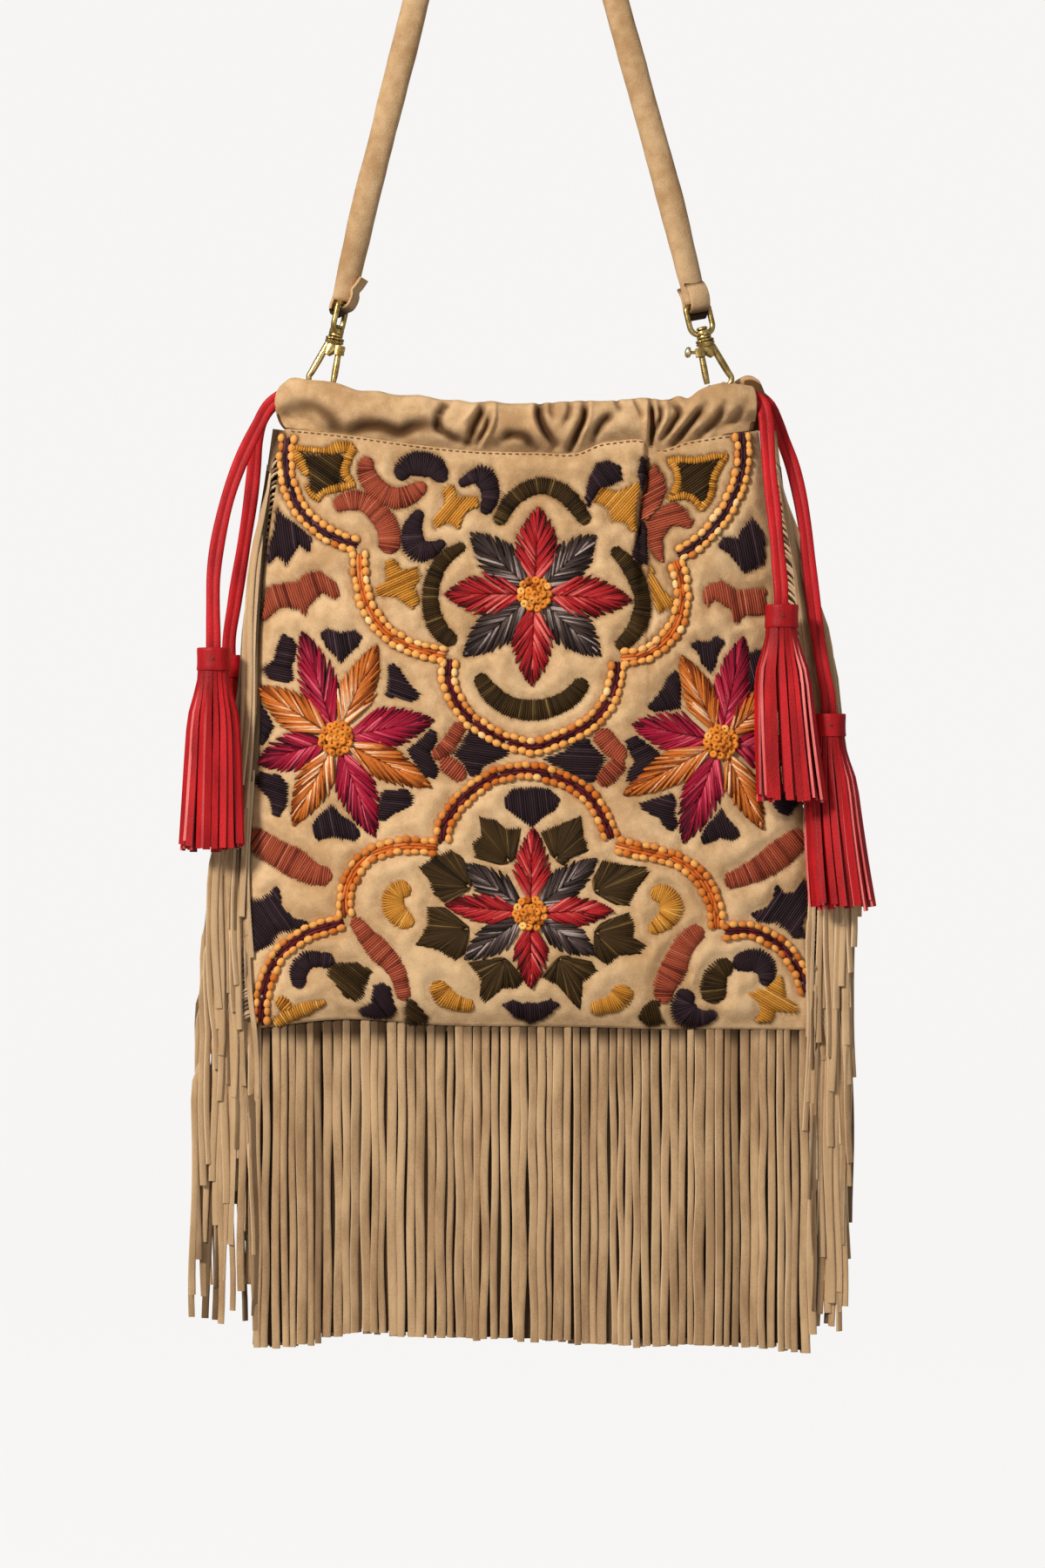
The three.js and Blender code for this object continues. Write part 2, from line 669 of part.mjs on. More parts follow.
// The cut strips of a tassel, fused to the core that the cap wraps.
function tasselSkirt(row) {
  const core = turned(
    [
      [0, -CORE_DROP],
      [CORE_RADIUS, -CORE_DROP],
      [CORE_RADIUS, -CORE_LENGTH],
      [0, -CORE_LENGTH],
    ],
    SKIRT_STRIPS,
  );
  const length = row.top - row.foot;
  const strips = Array.from({ length: SKIRT_STRIPS }, (_, i) => {
    const angle = (2 * Math.PI * i) / SKIRT_STRIPS;
    const out = new THREE.Vector3(Math.cos(angle), Math.sin(angle), 0);
    const flare = lerp(CAP_RADIUS, row.halfWidth, SKIRT_FLARE.share);
    const end = length - (i % 2) * SKIRT_RAGGED;
    const stations = [
      { drop: SKIRT_ROOT.drop, halfX: SKIRT_ROOT.radius, halfY: SKIRT_ROOT.radius, lean: 0 },
      { drop: SKIRT_LIP.drop, halfX: SKIRT_LIP.radius, halfY: SKIRT_LIP.radius, lean: 0 },
      { drop: SKIRT_FLARE.drop, halfX: flare, halfY: CAP_RADIUS, lean: SKIRT_FLARE.lean },
      { drop: end, halfX: row.halfWidth - SKIRT_INSET, halfY: SKIRT_HALF_DEPTH, lean: 1 },
    ];
    const points = stations.map((station) => new THREE.Vector3(
      out.x * station.halfX + station.lean * (row.footX - row.x),
      out.y * station.halfY,
      -station.drop,
    ));
    return ribbon(points, out, SKIRT_STRIP_THICK / 2, SKIRT_STRIP_ROOT / 2, SKIRT_STRIP_FOOT / 2);
  });
  return fuse([core, ...strips]);
}

// A point in the plane of a clip, given along its own leaning axes.
function clipPoint(clip, across, up) {
  const lean = degToRad(clip.lean);
  const x = clip.x + across * Math.cos(lean) + up * Math.sin(lean);
  return new THREE.Vector3(x, 0, clip.z - across * Math.sin(lean) + up * Math.cos(lean));
}

function strapLine() {
  const [left, right] = CLIPS;
  const flat = ([x, z]) => new THREE.Vector3(x, 0, z);
  const arc = Array.from({ length: HANG_POINTS }, (_, i) => {
    const angle = degToRad(lerp(-HANG_SPREAD, HANG_SPREAD, i / (HANG_POINTS - 1)));
    const middle = STRAP_HALF_WIDTH - HANG_RADIUS;
    return flat([HANG_RADIUS * Math.sin(angle), middle + HANG_RADIUS * Math.cos(angle)]);
  });
  return new THREE.CatmullRomCurve3([
    clipPoint(left, 0, STRAP_END_UP),
    clipPoint(left, 0, STRAP_STRAIGHT_UP),
    flat(STRAP_SHOULDERS.left),
    flat(STRAP_NECKS.left),
    ...arc,
    flat(STRAP_NECKS.right),
    flat(STRAP_SHOULDERS.right),
    clipPoint(right, 0, STRAP_STRAIGHT_UP),
    clipPoint(right, 0, STRAP_END_UP),
  ]);
}

function strapHalfThick(fromEnd) {
  return lerp(STRAP_END_THICK, STRAP_HALF_THICK, smoothstep(fromEnd, 0, STRAP_TAPER));
}

// The rolled strap, flattened and turned to its clip's ring at each end.
function strap() {
  const line = strapLine();
  const length = line.getLength();
  const near = [...STRAP_END_SHARES, ...STRAP_TOP_SHARES];
  const far = near.map((share) => 1 - share).reverse();
  const rings = [...near, 0.5, ...far].map((share) => {
    const toLeft = share * length;
    const fromEnd = Math.min(toLeft, length - toLeft);
    const clip = CLIPS[share < 0.5 ? 0 : 1];
    const twist = degToRad(clip.ringTurn) * (1 - smoothstep(fromEnd, STRAP_TAPER, STRAP_TWIST));
    const tangent = line.getTangentAt(share);
    const wide = tangent.clone().cross(AXIS_Y).applyAxisAngle(tangent, share < 0.5 ? twist : -twist);
    const deep = wide.clone().cross(tangent);
    const halfWide = lerp(STRAP_END_WIDTH, STRAP_HALF_WIDTH, smoothstep(fromEnd, 0, STRAP_TAPER));
    const section = polygon(halfWide, strapHalfThick(fromEnd), STRAP_SIDES).getPoints();
    const middlePoint = line.getPointAt(share);
    return section.slice(0, STRAP_SIDES).map((corner) => middlePoint.clone()
      .addScaledVector(wide, corner.x)
      .addScaledVector(deep, corner.y));
  });
  return loft(rings);
}

// The strap's end tab: down the front of the strap, round the ring's top bar and up behind.
function strapTab() {
  const bend = RING_WIRE + GAP + TAB_THICK / 2;
  const leg = (up) => Math.max(strapHalfThick(up - STRAP_END_UP) + GAP + TAB_THICK / 2 + TAB_SLACK, bend);
  const front = TAB_FRONT_UPS.map((up) => new THREE.Vector3(0, -leg(up), up));
  const turn = Array.from({ length: BEND_POINTS }, (_, i) => {
    const angle = (Math.PI * i) / (BEND_POINTS - 1);
    return new THREE.Vector3(0, -bend * Math.cos(angle), RING_TOP - bend * Math.sin(angle));
  });
  const back = TAB_BACK_UPS.map((up) => new THREE.Vector3(0, leg(up), up));
  return ribbon([...front, ...turn, ...back], AXIS_X, TAB_HALF_WIDTH, TAB_THICK / 2);
}

// The clip's eye: a rounded wire frame on a drilled boss.
function clipRing() {
  const outline = new THREE.Path();
  const low = RING_BOTTOM + RING_FOOT_CORNER;
  const high = RING_TOP - RING_TOP_CORNER;
  const foot = RING_HALF_WIDTH - RING_FOOT_CORNER;
  const shoulder = RING_HALF_WIDTH - RING_TOP_CORNER;
  outline.absarc(foot, low, RING_FOOT_CORNER, -Math.PI / 2, 0);
  outline.absarc(shoulder, high, RING_TOP_CORNER, 0, Math.PI / 2);
  outline.absarc(-shoulder, high, RING_TOP_CORNER, Math.PI / 2, Math.PI);
  outline.absarc(-foot, low, RING_FOOT_CORNER, Math.PI, 1.5 * Math.PI);
  const places = outline.getPoints(RING_ARC_STEPS);
  const rings = places.map((place, i) => {
    const before = places[(i + places.length - 1) % places.length];
    const after = places[(i + 1) % places.length];
    const along = after.clone().sub(before).normalize();
    return polygon(RING_WIRE, RING_WIRE, WIRE_SIDES).getPoints().slice(0, WIRE_SIDES)
      .map(({ x, y }) => new THREE.Vector3(place.x + along.y * x, y, place.y - along.x * x));
  });
  const boss = turned(
    [[0, BOSS.low], [BOSS.radius, BOSS.low], [BOSS.radius, BOSS.high], [0, BOSS.high]],
    BOSS.sides,
  );
  const through = BOSS.low + BOSS.high;
  const bore = turned([[0, 0], [BOSS.bore, 0], [BOSS.bore, through], [0, through]], BOSS.sides);
  return cut(fuse([loft(rings, true), boss]), bore);
}

function crossPin(radius, halfLength, sides) {
  const section = [[0, -halfLength], [radius, -halfLength], [radius, halfLength], [0, halfLength]];
  return turned(section, sides).rotateX(Math.PI / 2).translate(PIVOT.x, 0, PIVOT.z);
}

// The hook: swivel post and barrel, the bent wire, and two ears with the pin that the gate turns on.
function clipHook() {
  const barrel = turned(
    [
      [0, BOSS.high + GAP + POST_HEAD.thick],
      [POST_HEAD.radius, BOSS.high + GAP + POST_HEAD.thick],
      [POST_HEAD.radius, BOSS.high + GAP],
      [POST_RADIUS, BOSS.high + GAP],
      [POST_RADIUS, BOSS.low - GAP],
      [BARREL.radius, BOSS.low - GAP],
      [BARREL.radius, BARREL.low],
      [BARREL.footRadius, BARREL.foot],
      [0, BARREL.foot],
    ],
    BOSS.sides,
  );
  const wire = HOOK_LINE.map(([x, z]) => new THREE.Vector3(x, 0, z));
  const ears = [-1, 1].map((face) => {
    const y = face * (EAR.inner + EAR.thick / 2);
    return block(EAR.width, EAR.thick, EAR.height, PIVOT.x + EAR.offsetX, y, PIVOT.z + EAR.offsetZ);
  });
  return fuse([
    barrel,
    block(BRIDGE.width, BRIDGE.depth, BRIDGE.height, BRIDGE.x, 0, BRIDGE.z),
    bar(wire, polygon(HOOK_WIRE, HOOK_WIRE, WIRE_SIDES), HOOK_STEPS),
    ...ears,
    crossPin(PIN_RADIUS, EAR.inner + EAR.thick / 2, PIN_SIDES),
  ]);
}

// The thumb stud of a lever: a stem from the eye and a rounded knob.
function thumbStud() {
  const out = new THREE.Vector3(-STUD.reach, 0, STUD.rise);
  const near = out.clone().multiplyScalar((EYE.bore + EYE.bite) / STUD.reach);
  const stem = bar([near, out], polygon(STUD.stem, STUD.stem, WIRE_SIDES), 1);
  const half = KNOB.thick / 2;
  const knob = turned(
    [[0, -half], [KNOB.faceRadius, -half], [KNOB.radius, 0], [KNOB.faceRadius, half], [0, half]],
    KNOB.sides,
  );
  knob.rotateY(degToRad(-STUD.tilt)).translate(out.x, 0, out.z);
  return [stem, knob].map((piece) => piece.translate(PIVOT.x, 0, PIVOT.z));
}

// The sprung lever: an eye on the pin, the bar that shuts the hook, and on one clip a thumb stud.
function clipGate(hasStud) {
  const foot = new THREE.Vector3(GATE_FOOT.x, 0, GATE_FOOT.z);
  const root = new THREE.Vector3(PIVOT.x, 0, PIVOT.z - EYE.bore - EYE.bite);
  const shank = bar([root, foot], polygon(GATE_WIRE, GATE_WIRE, WIRE_SIDES), 1);
  const eye = crossPin(EYE.radius, EYE.halfWidth, EYE.sides);
  const pieces = [eye, shank, ...(hasStud ? thumbStud() : [])];
  return cut(fuse(pieces), crossPin(EYE.bore, EYE.halfWidth + 1, EYE.sides));
}

// The tab that a hook carries: over the hook's foot, with a leg against each casing.
function hangerTab(clip) {
  const across = clip.hookTurn ? -HANGER.x : HANGER.x;
  const foot = clipPoint(clip, across * (1 + HANGER.halfWidth / HANGER.x), HANGER.z - HANGER.reach);
  const leg = mouthGap(foot.x) - HANGER.thick / 2;
  const arch = Array.from({ length: BEND_POINTS }, (_, i) => {
    const angle = (Math.PI * i) / (BEND_POINTS - 1);
    return new THREE.Vector3(0, -HANGER.bend * Math.cos(angle), HANGER.bend * Math.sin(angle));
  });
  const down = [HANGER.flareDown, HANGER.reach];
  const front = down.map((drop) => new THREE.Vector3(0, -leg, -drop)).reverse();
  const back = down.map((drop) => new THREE.Vector3(0, leg, -drop));
  return ribbon([...front, ...arch, ...back], AXIS_X, HANGER.halfWidth, HANGER.thick / 2);
}

function swivelClip(clip) {
  const group = new THREE.Group();
  group.position.set(clip.x, 0, clip.z);
  group.rotation.y = degToRad(clip.lean);
  const eye = new THREE.Group();
  eye.rotation.z = degToRad(clip.ringTurn);
  eye.add(node(`ring_${clip.side}`, clipRing(), BRASS));
  eye.add(node(`strap_loop_${clip.side}`, strapTab(), SUEDE));
  const hook = new THREE.Group();
  hook.rotation.z = degToRad(clip.hookTurn);
  hook.add(node(`hook_${clip.side}`, clipHook(), BRASS));
  hook.add(node(`gate_${clip.side}`, clipGate(clip.stud), BRASS));
  const tab = node(`hook_tab_${clip.side}`, hangerTab(clip), SUEDE);
  tab.position.set(HANGER.x, 0, HANGER.z);
  hook.add(tab);
  group.add(eye, hook);
  return group;
}

function tassel(row) {
  const group = new THREE.Group();
  group.position.set(row.x, row.y, row.top);
  group.add(node(`tassel_cap_${row.name}`, tasselCap(), RED_LEATHER));
  group.add(node(`tassel_skirt_${row.name}`, tasselSkirt(row), RED_LEATHER));
  return group;
}

const bag = new THREE.Group();
const backGathers = GATHERS.filter((_, i) => i % BACK_GATHER_STEP === 0);
bag.add(node("front_panel", pouchWall(FRONT, PANEL_COLUMNS, PANEL_ROWS), SUEDE));
bag.add(node("back_panel", pouchWall(BACK, BACK_COLUMNS, BACK_ROWS), SUEDE));
bag.add(node("front_casing", casing(FRONT, CASING_RIGHT, GATHERS), SUEDE));
bag.add(node("back_casing", casing(BACK, BACK_CASING_RIGHT, backGathers), SUEDE));
bag.add(node("bottom_fringe", bottomFringe(), FRINGE_SUEDE));
bag.add(node("left_fringe", sideFringe(-1), FRINGE_SUEDE));
bag.add(node("right_fringe", sideFringe(1), FRINGE_SUEDE));
bag.add(node("front_lace_run", laceRun(FRONT, CASING_RIGHT), RED_LEATHER));
bag.add(node("back_lace_run", laceRun(BACK, BACK_CASING_RIGHT), RED_LEATHER));
for (const [name, route] of Object.entries(LACE_ROUTES)) {
  bag.add(node(`lace_${name}`, laceEnd(route), RED_LEATHER));
}
for (const row of TASSELS) {
  bag.add(tassel(row));
}
bag.add(node("strap", strap(), SUEDE));
for (const clip of CLIPS) {
  bag.add(swivelClip(clip));
}

export default bag;
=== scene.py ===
"""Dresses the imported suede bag: leather, embroidery, fringe, laces, tassels and brass clips in the CAD's frame."""

import logging
import math
from dataclasses import dataclass, field
from enum import Enum
from typing import Sequence

import bpy
import numpy as np
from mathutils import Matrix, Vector, kdtree, noise


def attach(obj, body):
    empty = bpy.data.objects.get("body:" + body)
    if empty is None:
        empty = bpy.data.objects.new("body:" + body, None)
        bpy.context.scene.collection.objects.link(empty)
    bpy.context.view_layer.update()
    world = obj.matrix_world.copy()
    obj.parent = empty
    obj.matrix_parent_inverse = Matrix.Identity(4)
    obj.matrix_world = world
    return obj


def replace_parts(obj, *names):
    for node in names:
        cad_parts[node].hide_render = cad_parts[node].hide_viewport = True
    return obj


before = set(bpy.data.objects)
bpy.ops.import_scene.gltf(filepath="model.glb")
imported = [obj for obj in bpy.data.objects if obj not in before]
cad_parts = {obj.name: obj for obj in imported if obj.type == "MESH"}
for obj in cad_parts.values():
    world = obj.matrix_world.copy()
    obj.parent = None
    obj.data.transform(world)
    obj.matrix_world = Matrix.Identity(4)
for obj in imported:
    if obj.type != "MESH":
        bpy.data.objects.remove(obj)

LOG = logging.getLogger("bag")
Array = np.ndarray
Colour = tuple[float, float, float, float]
Triple = tuple[float, float, float]
Spots = tuple[tuple[float, float], ...]
MM = 0.001
BODY = "bag"
EVEN = (1, 1, 1)
DRAWN_ALONG_Z = (1, 1, 0.3)


def linear(red: int, green: int, blue: int) -> Colour:
    """Turns an 8-bit display colour into a scene-linear one with an alpha of one."""
    shares = [value / 255 for value in (red, green, blue)]
    return (*(share / 12.92 if share <= 0.04045 else ((share + 0.055) / 1.055) ** 2.4 for share in shares), 1.0)


class Socket:
    """A shader output that takes part in Python arithmetic."""

    def __init__(self, graph: "Graph", output: bpy.types.NodeSocket) -> None:
        """Keeps the graph and the node output."""
        self.graph = graph
        self.output = output

    def __add__(self, other: "Socket | float") -> "Socket":
        """Adds."""
        return self.graph.math("ADD", self, other)

    def __radd__(self, other: float) -> "Socket":
        """Adds to a number."""
        return self.graph.math("ADD", other, self)

    def __sub__(self, other: "Socket | float") -> "Socket":
        """Subtracts."""
        return self.graph.math("SUBTRACT", self, other)

    def __rsub__(self, other: float) -> "Socket":
        """Subtracts from a number."""
        return self.graph.math("SUBTRACT", other, self)

    def __mul__(self, other: "Socket | float") -> "Socket":
        """Multiplies."""
        return self.graph.math("MULTIPLY", self, other)

    def __rmul__(self, other: float) -> "Socket":
        """Multiplies a number."""
        return self.graph.math("MULTIPLY", other, self)

    def ramp(self, low: float, high: float) -> "Socket":
        """Eases from zero at low to one at high."""
        inputs = {"Value": self, "From Min": low, "From Max": high}
        return self.graph.node("ShaderNodeMapRange", {"interpolation_type": "SMOOTHSTEP"}, inputs)


class Graph:
    """The node tree of one material."""

    def __init__(self, name: str) -> None:
        """Makes a material with one shader.

        Args:
            name: Name of the material.
        """
        self.material = bpy.data.materials.new(name)
        self.material.use_nodes = True
        self.tree = self.material.node_tree
        self.shader = self.tree.nodes["Principled BSDF"]

    def feed(self, target: bpy.types.NodeSocket, value: object) -> None:
        """Links a socket to an input, or sets the input's own value.

        Args:
            target: The input.
            value: Socket to link, or value to set.
        """
        if isinstance(value, Socket):
            self.tree.links.new(value.output, target)
        else:
            target.default_value = value

    def node(self, kind: str, settings: dict | None = None, inputs: dict | None = None, output: int = 0) -> Socket:
        """Adds a node.

        Args:
            kind: Node type.
            settings: Properties to set before any input.
            inputs: Values or sockets by input name or number.
            output: Number of the output that is wanted.

        Returns:
            The node's output.
        """
        made = self.tree.nodes.new(kind)
        for key, value in (settings or {}).items():
            setattr(made, key, value)
        for key, value in (inputs or {}).items():
            self.feed(made.inputs[key], value)
        return Socket(self, made.outputs[output])

    def math(self, operation: str, first: Socket | float, second: Socket | float) -> Socket:
        """Adds a two-value Math node."""
        return self.node("ShaderNodeMath", {"operation": operation}, {0: first, 1: second})

    def mix(self, factor: Socket | float, first: Socket | Colour, second: Socket | Colour) -> Socket:
        """Mixes two colours."""
        settings = {"data_type": "RGBA", "clamp_factor": True}
        return self.node("ShaderNodeMix", settings, {0: factor, 6: first, 7: second}, 2)

    def place(self, stretch: Triple) -> Socket:
        """Gives the object's own coordinates, stretched."""
        here = self.node("ShaderNodeTexCoord", output=3)
        return self.node("ShaderNodeVectorMath", {"operation": "MULTIPLY"}, {0: here, 1: stretch})

    def grain(self, size: float, detail: float, stretch: Triple = EVEN) -> Socket:
        """Gives noise around a half, with features of a size in metres and octaves of finer detail."""
        inputs = {"Vector": self.place(stretch), "Scale": 1 / size, "Detail": detail, "Roughness": 0.55}
        return self.node("ShaderNodeTexNoise", None, inputs)

    def tone(self) -> Socket:
        """Reads the shade that the mesh carries at each point."""
        return self.node("ShaderNodeAttribute", {"attribute_name": "tone"}, output=2)

    def finish(
        self,
        colour: Socket | Colour,
        roughness: Socket | float,
        height: Socket,
        depth: float,
        constants: dict[str, object],
    ) -> bpy.types.Material:
        """Feeds the shader with a colour, a roughness and a relief of some depth in metres."""
        normal = self.node("ShaderNodeBump", None, {"Strength": 1.0, "Distance": depth, "Height": height})
        return self.dress({"Base Color": colour, "Roughness": roughness, "Normal": normal, **constants})

    def dress(self, values: dict[str, object]) -> bpy.types.Material:
        """Feeds inputs of the shader.

        Args:
            values: Values or sockets by input name.

        Returns:
            The material.
        """
        for key, value in values.items():
            self.feed(self.shader.inputs[key], value)
        return self.material


@dataclass(frozen=True)
class Finish:
    """A surface finish that makes its material once."""

    name: str

    def material(self) -> bpy.types.Material:
        """Finds the material, or makes it."""
        return bpy.data.materials.get(self.name) or self.make()

    def make(self) -> bpy.types.Material:
        """Makes the material."""
        raise NotImplementedError


@dataclass(frozen=True)
class Suede(Finish):
    """Napped leather with soft mottling, with painted shade where the mesh's tone is below zero and painted light
    above it.
    """

    light: Colour
    dark: Colour
    deep: Colour
    stretch: Triple = EVEN
    cloud_size: float = 45 * MM
    brush_size: float = 7 * MM
    nap_size: float = 0.8 * MM
    relief: float = 0.6 * MM
    roughness: float = 0.82

    def make(self) -> bpy.types.Material:
        """Mixes large clouds, brushed streaks, fine nap and the painted shade and light of the mesh's tone.

        Returns:
            The material.
        """
        graph = Graph(self.name)
        clouds = graph.grain(self.cloud_size, 3, self.stretch)
        brushed = graph.grain(self.brush_size, 5, self.stretch)
        nap = graph.grain(self.nap_size, 2)
        tone = graph.tone()
        shade = clouds * 0.55 + brushed * 0.45 + nap * 0.22 - 0.11
        plain = graph.mix(shade.ramp(0.32, 0.68), self.dark, self.light)
        # Painted shade: a tone below zero darkens the suede towards the deep colour; a tone above zero paints it
        # lighter.
        sunk = graph.mix((0.0 - tone).ramp(0.0, 1.0), plain, self.deep)
        colour = graph.mix(tone.ramp(0.0, 1.0) * 0.5, sunk, self.light)
        height = nap * 0.55 + brushed * 0.45
        constants = {"Sheen Weight": 0.05, "Sheen Roughness": 0.5, "Specular IOR Level": 0.08}
        return graph.finish(colour, self.roughness + nap * 0.2, height, self.relief, constants)


@dataclass(frozen=True)
class SmoothLeather(Finish):
    """Dyed leather with a low sheen and a fine pebble."""

    light: Colour
    dark: Colour
    roughness: float = 0.42
    rub_size: float = 12 * MM
    pebble_size: float = 0.9 * MM
    relief: float = 0.25 * MM

    def make(self) -> bpy.types.Material:
        """Mixes rubbed patches, a fine pebble and the painted shade of the mesh's tone.

        Returns:
            The material.
        """
        graph = Graph(self.name)
        rubbed = graph.grain(self.rub_size, 4, DRAWN_ALONG_Z)
        pebble = graph.grain(self.pebble_size, 2)
        # Painted shade: the mesh's tone darkens the leather in the lace grooves, the tassels' inner strips and the
        # caps' rims.
        shade = rubbed * 0.8 + pebble * 0.25 + graph.tone() * 0.35
        colour = graph.mix(shade.ramp(0.25, 0.8), self.dark, self.light)
        constants = {"Specular IOR Level": 0.22}
        return graph.finish(colour, self.roughness + pebble * 0.18, pebble, self.relief, constants)


@dataclass(frozen=True)
class Thread(Finish):
    """Twisted embroidery thread whose strands differ in shade."""

    deep: Colour
    plain: Colour
    pale: Colour
    fibre_size: float = 0.5 * MM
    patch_size: float = 6 * MM
    relief: float = 0.3 * MM
    roughness: float = 0.55

    def make(self) -> bpy.types.Material:
        """Shades each strand by its own tone.

        Returns:
            The material.
        """
        graph = Graph(self.name)
        tone = graph.tone()
        fibre = graph.grain(self.fibre_size, 2)
        patch = graph.grain(self.patch_size, 2)
        mark = tone + (patch - 0.5) * 0.5 + (fibre - 0.5) * 0.5
        dark = graph.mix((0.0 - mark).ramp(-0.1, 1.0), self.plain, self.deep)
        colour = graph.mix(mark.ramp(0.25, 1.2), dark, self.pale)
        constants = {"Specular IOR Level": 0.16}
        return graph.finish(colour, self.roughness + fibre * 0.2, fibre, self.relief, constants)


@dataclass(frozen=True)
class Brass(Finish):
    """Aged brass, dark in its recesses and bright where it rubs."""

    bright: Colour
    worn: Colour
    recess: Colour
    tarnish_size: float = 4 * MM
    speck_size: float = 0.7 * MM
    relief: float = 0.1 * MM
    roughness: float = 0.22

    def make(self) -> bpy.types.Material:
        """Mixes tarnish, rubbed metal and dark grooves.

        Returns:
            The material.
        """
        graph = Graph(self.name)
        tone = graph.tone()
        tarnish = graph.grain(self.tarnish_size, 4)
        speck = graph.grain(self.speck_size, 2)
        metal = graph.mix((tarnish + speck * 0.3).ramp(0.45, 0.8), self.bright, self.worn)
        colour = graph.mix((0.0 - tone).ramp(0.0, 1.0), metal, self.recess)
        return graph.finish(colour, self.roughness + tarnish * 0.25, speck, self.relief, {"Metallic": 1.0})


@dataclass(frozen=True)
class Paper(Finish):
    """The pale studio sweep."""

    colour: Colour
    glow: float
    glow_colour: Colour = (1, 0.992, 0.978, 1)

    def make(self) -> bpy.types.Material:
        """Makes an even matte surface that lifts its own shadows a little.

        Returns:
            The material.
        """
        return Graph(self.name).dress({
            "Base Color": self.colour,
            "Roughness": 1.0,
            "Specular IOR Level": 0.0,
            "Emission Color": self.glow_colour,
            "Emission Strength": self.glow,
        })


SUEDE = Suede("napped_suede", linear(222, 185, 140), linear(184, 143, 99), linear(92, 62, 36))
FRINGE_SUEDE = Suede(
    "napped_fringe", linear(200, 165, 124), linear(152, 118, 84), linear(60, 42, 27), DRAWN_ALONG_Z
)
FRINGE_EDGE = Suede(
    "fringe_edge_suede", linear(216, 188, 152), linear(186, 154, 118), linear(84, 60, 40), DRAWN_ALONG_Z
)
SHADED_SUEDE = Suede("shaded_suede", linear(70, 50, 34), linear(50, 35, 22), linear(26, 18, 11))
RED_LEATHER = SmoothLeather("dyed_leather", linear(202, 25, 32), linear(138, 4, 8))
CUT_EDGE = SmoothLeather("cut_edge", linear(240, 138, 132), linear(214, 84, 84), 0.6)
BRASS = Brass("aged_brass", linear(226, 196, 126), linear(158, 128, 72), linear(48, 36, 18))
# Pale brass is a painted highlight, for the gate's thumb stud.
HIGHLIGHT_BRASS = Brass("pale_brass", linear(252, 242, 214), linear(232, 214, 172), linear(120, 100, 60))
SEAM_THREAD = Thread("seam_thread", linear(92, 66, 40), linear(128, 96, 62), linear(160, 126, 88))


class Floss(Enum):
    """The embroidery threads."""

    AUBERGINE = Thread("thread_aubergine", linear(22, 13, 17), linear(46, 29, 34), linear(80, 58, 64))
    RUST = Thread("thread_rust", linear(96, 34, 22), linear(166, 78, 52), linear(206, 120, 90))
    MUSTARD = Thread("thread_mustard", linear(142, 86, 20), linear(202, 138, 50), linear(234, 182, 96))
    OLIVE = Thread("thread_olive", linear(26, 17, 5), linear(62, 42, 15), linear(124, 98, 54))
    RED = Thread("thread_red", linear(86, 7, 14), linear(178, 35, 39), linear(226, 116, 106))
    CRIMSON = Thread("thread_crimson", linear(70, 6, 24), linear(162, 18, 50), linear(224, 96, 114))
    ORANGE = Thread("thread_orange", linear(122, 52, 10), linear(203, 112, 40), linear(248, 210, 168))
    GREY = Thread("thread_grey", linear(30, 21, 20), linear(70, 54, 50), linear(180, 160, 152))
    BEAD = Thread("thread_bead", linear(198, 104, 32), linear(238, 168, 86), linear(252, 214, 148))
    KNOT = Thread("thread_knot", linear(168, 80, 18), linear(226, 138, 48), linear(250, 198, 112))
    PLUM = Thread("thread_plum", linear(34, 16, 26), linear(72, 34, 44), linear(120, 70, 76))
    MAROON = Thread("thread_maroon", linear(40, 9, 16), linear(86, 22, 30), linear(138, 56, 54))
    COPPER = Thread("thread_copper", linear(146, 60, 16), linear(206, 104, 38), linear(236, 164, 100))


class Side(Enum):
    """Front or back of the bag, with its direction along Y."""

    FRONT = -1
    BACK = 1


@dataclass(frozen=True)
class Profile:
    """A smooth line through a table's rows."""

    at: tuple[float, ...]
    value: tuple[float, ...]

    def __call__(self, place: Array | float) -> Array:
        """Reads the line.

        Args:
            place: Where to read it.

        Returns:
            The values there.
        """
        at = np.asarray(self.at)
        value = np.asarray(self.value)
        slope = np.gradient(value, at)
        place = np.clip(place, at[0], at[-1])
        low = np.clip(np.searchsorted(at, place, side="right") - 1, 0, len(at) - 2)
        step = at[low + 1] - at[low]
        t = (place - at[low]) / step
        near = value[low] * (1 + 2 * t) + step * slope[low] * t
        far = value[low + 1] * (3 - 2 * t) + step * slope[low + 1] * (t - 1)
        return (1 - t) ** 2 * near + t**2 * far


def ease(value: Array | float, low: float, high: float) -> Array:
    """Eases from zero at low to one at high."""
    t = np.clip((np.asarray(value, float) - low) / (high - low), 0, 1)
    return t * t * (3 - 2 * t)


def unit(vectors: Array) -> Array:
    """Scales vectors to length one."""
    return vectors / np.maximum(np.linalg.norm(vectors, axis=-1, keepdims=True), 1e-12)


def smooth_line(points: Sequence[Sequence[float]], count: int) -> Array:
    """Resamples a row of points along a smooth curve.

    Args:
        points: Points of two or three numbers.
        count: How many points to give.

    Returns:
        Points evenly along the curve.
    """
    rows = np.asarray(points, float)
    steps = np.linalg.norm(np.diff(rows, axis=0), axis=1)
    along = np.concatenate([[0], np.cumsum(steps)])
    places = np.linspace(0, along[-1], count)
    return np.stack([Profile(tuple(along), tuple(column))(places) for column in rows.T], axis=1)


def line_length(points: Sequence[Sequence[float]]) -> float:
    """Measures a row of points."""
    return float(np.linalg.norm(np.diff(np.asarray(points, float), axis=0), axis=1).sum())


def oval(sides: int, half_wide: float, half_deep: float) -> Array:
    """Gives the corners of an oval section."""
    turn = 2 * np.pi * (np.arange(sides) + 0.5) / sides
    return np.stack([half_wide * np.cos(turn), half_deep * np.sin(turn)], axis=1)


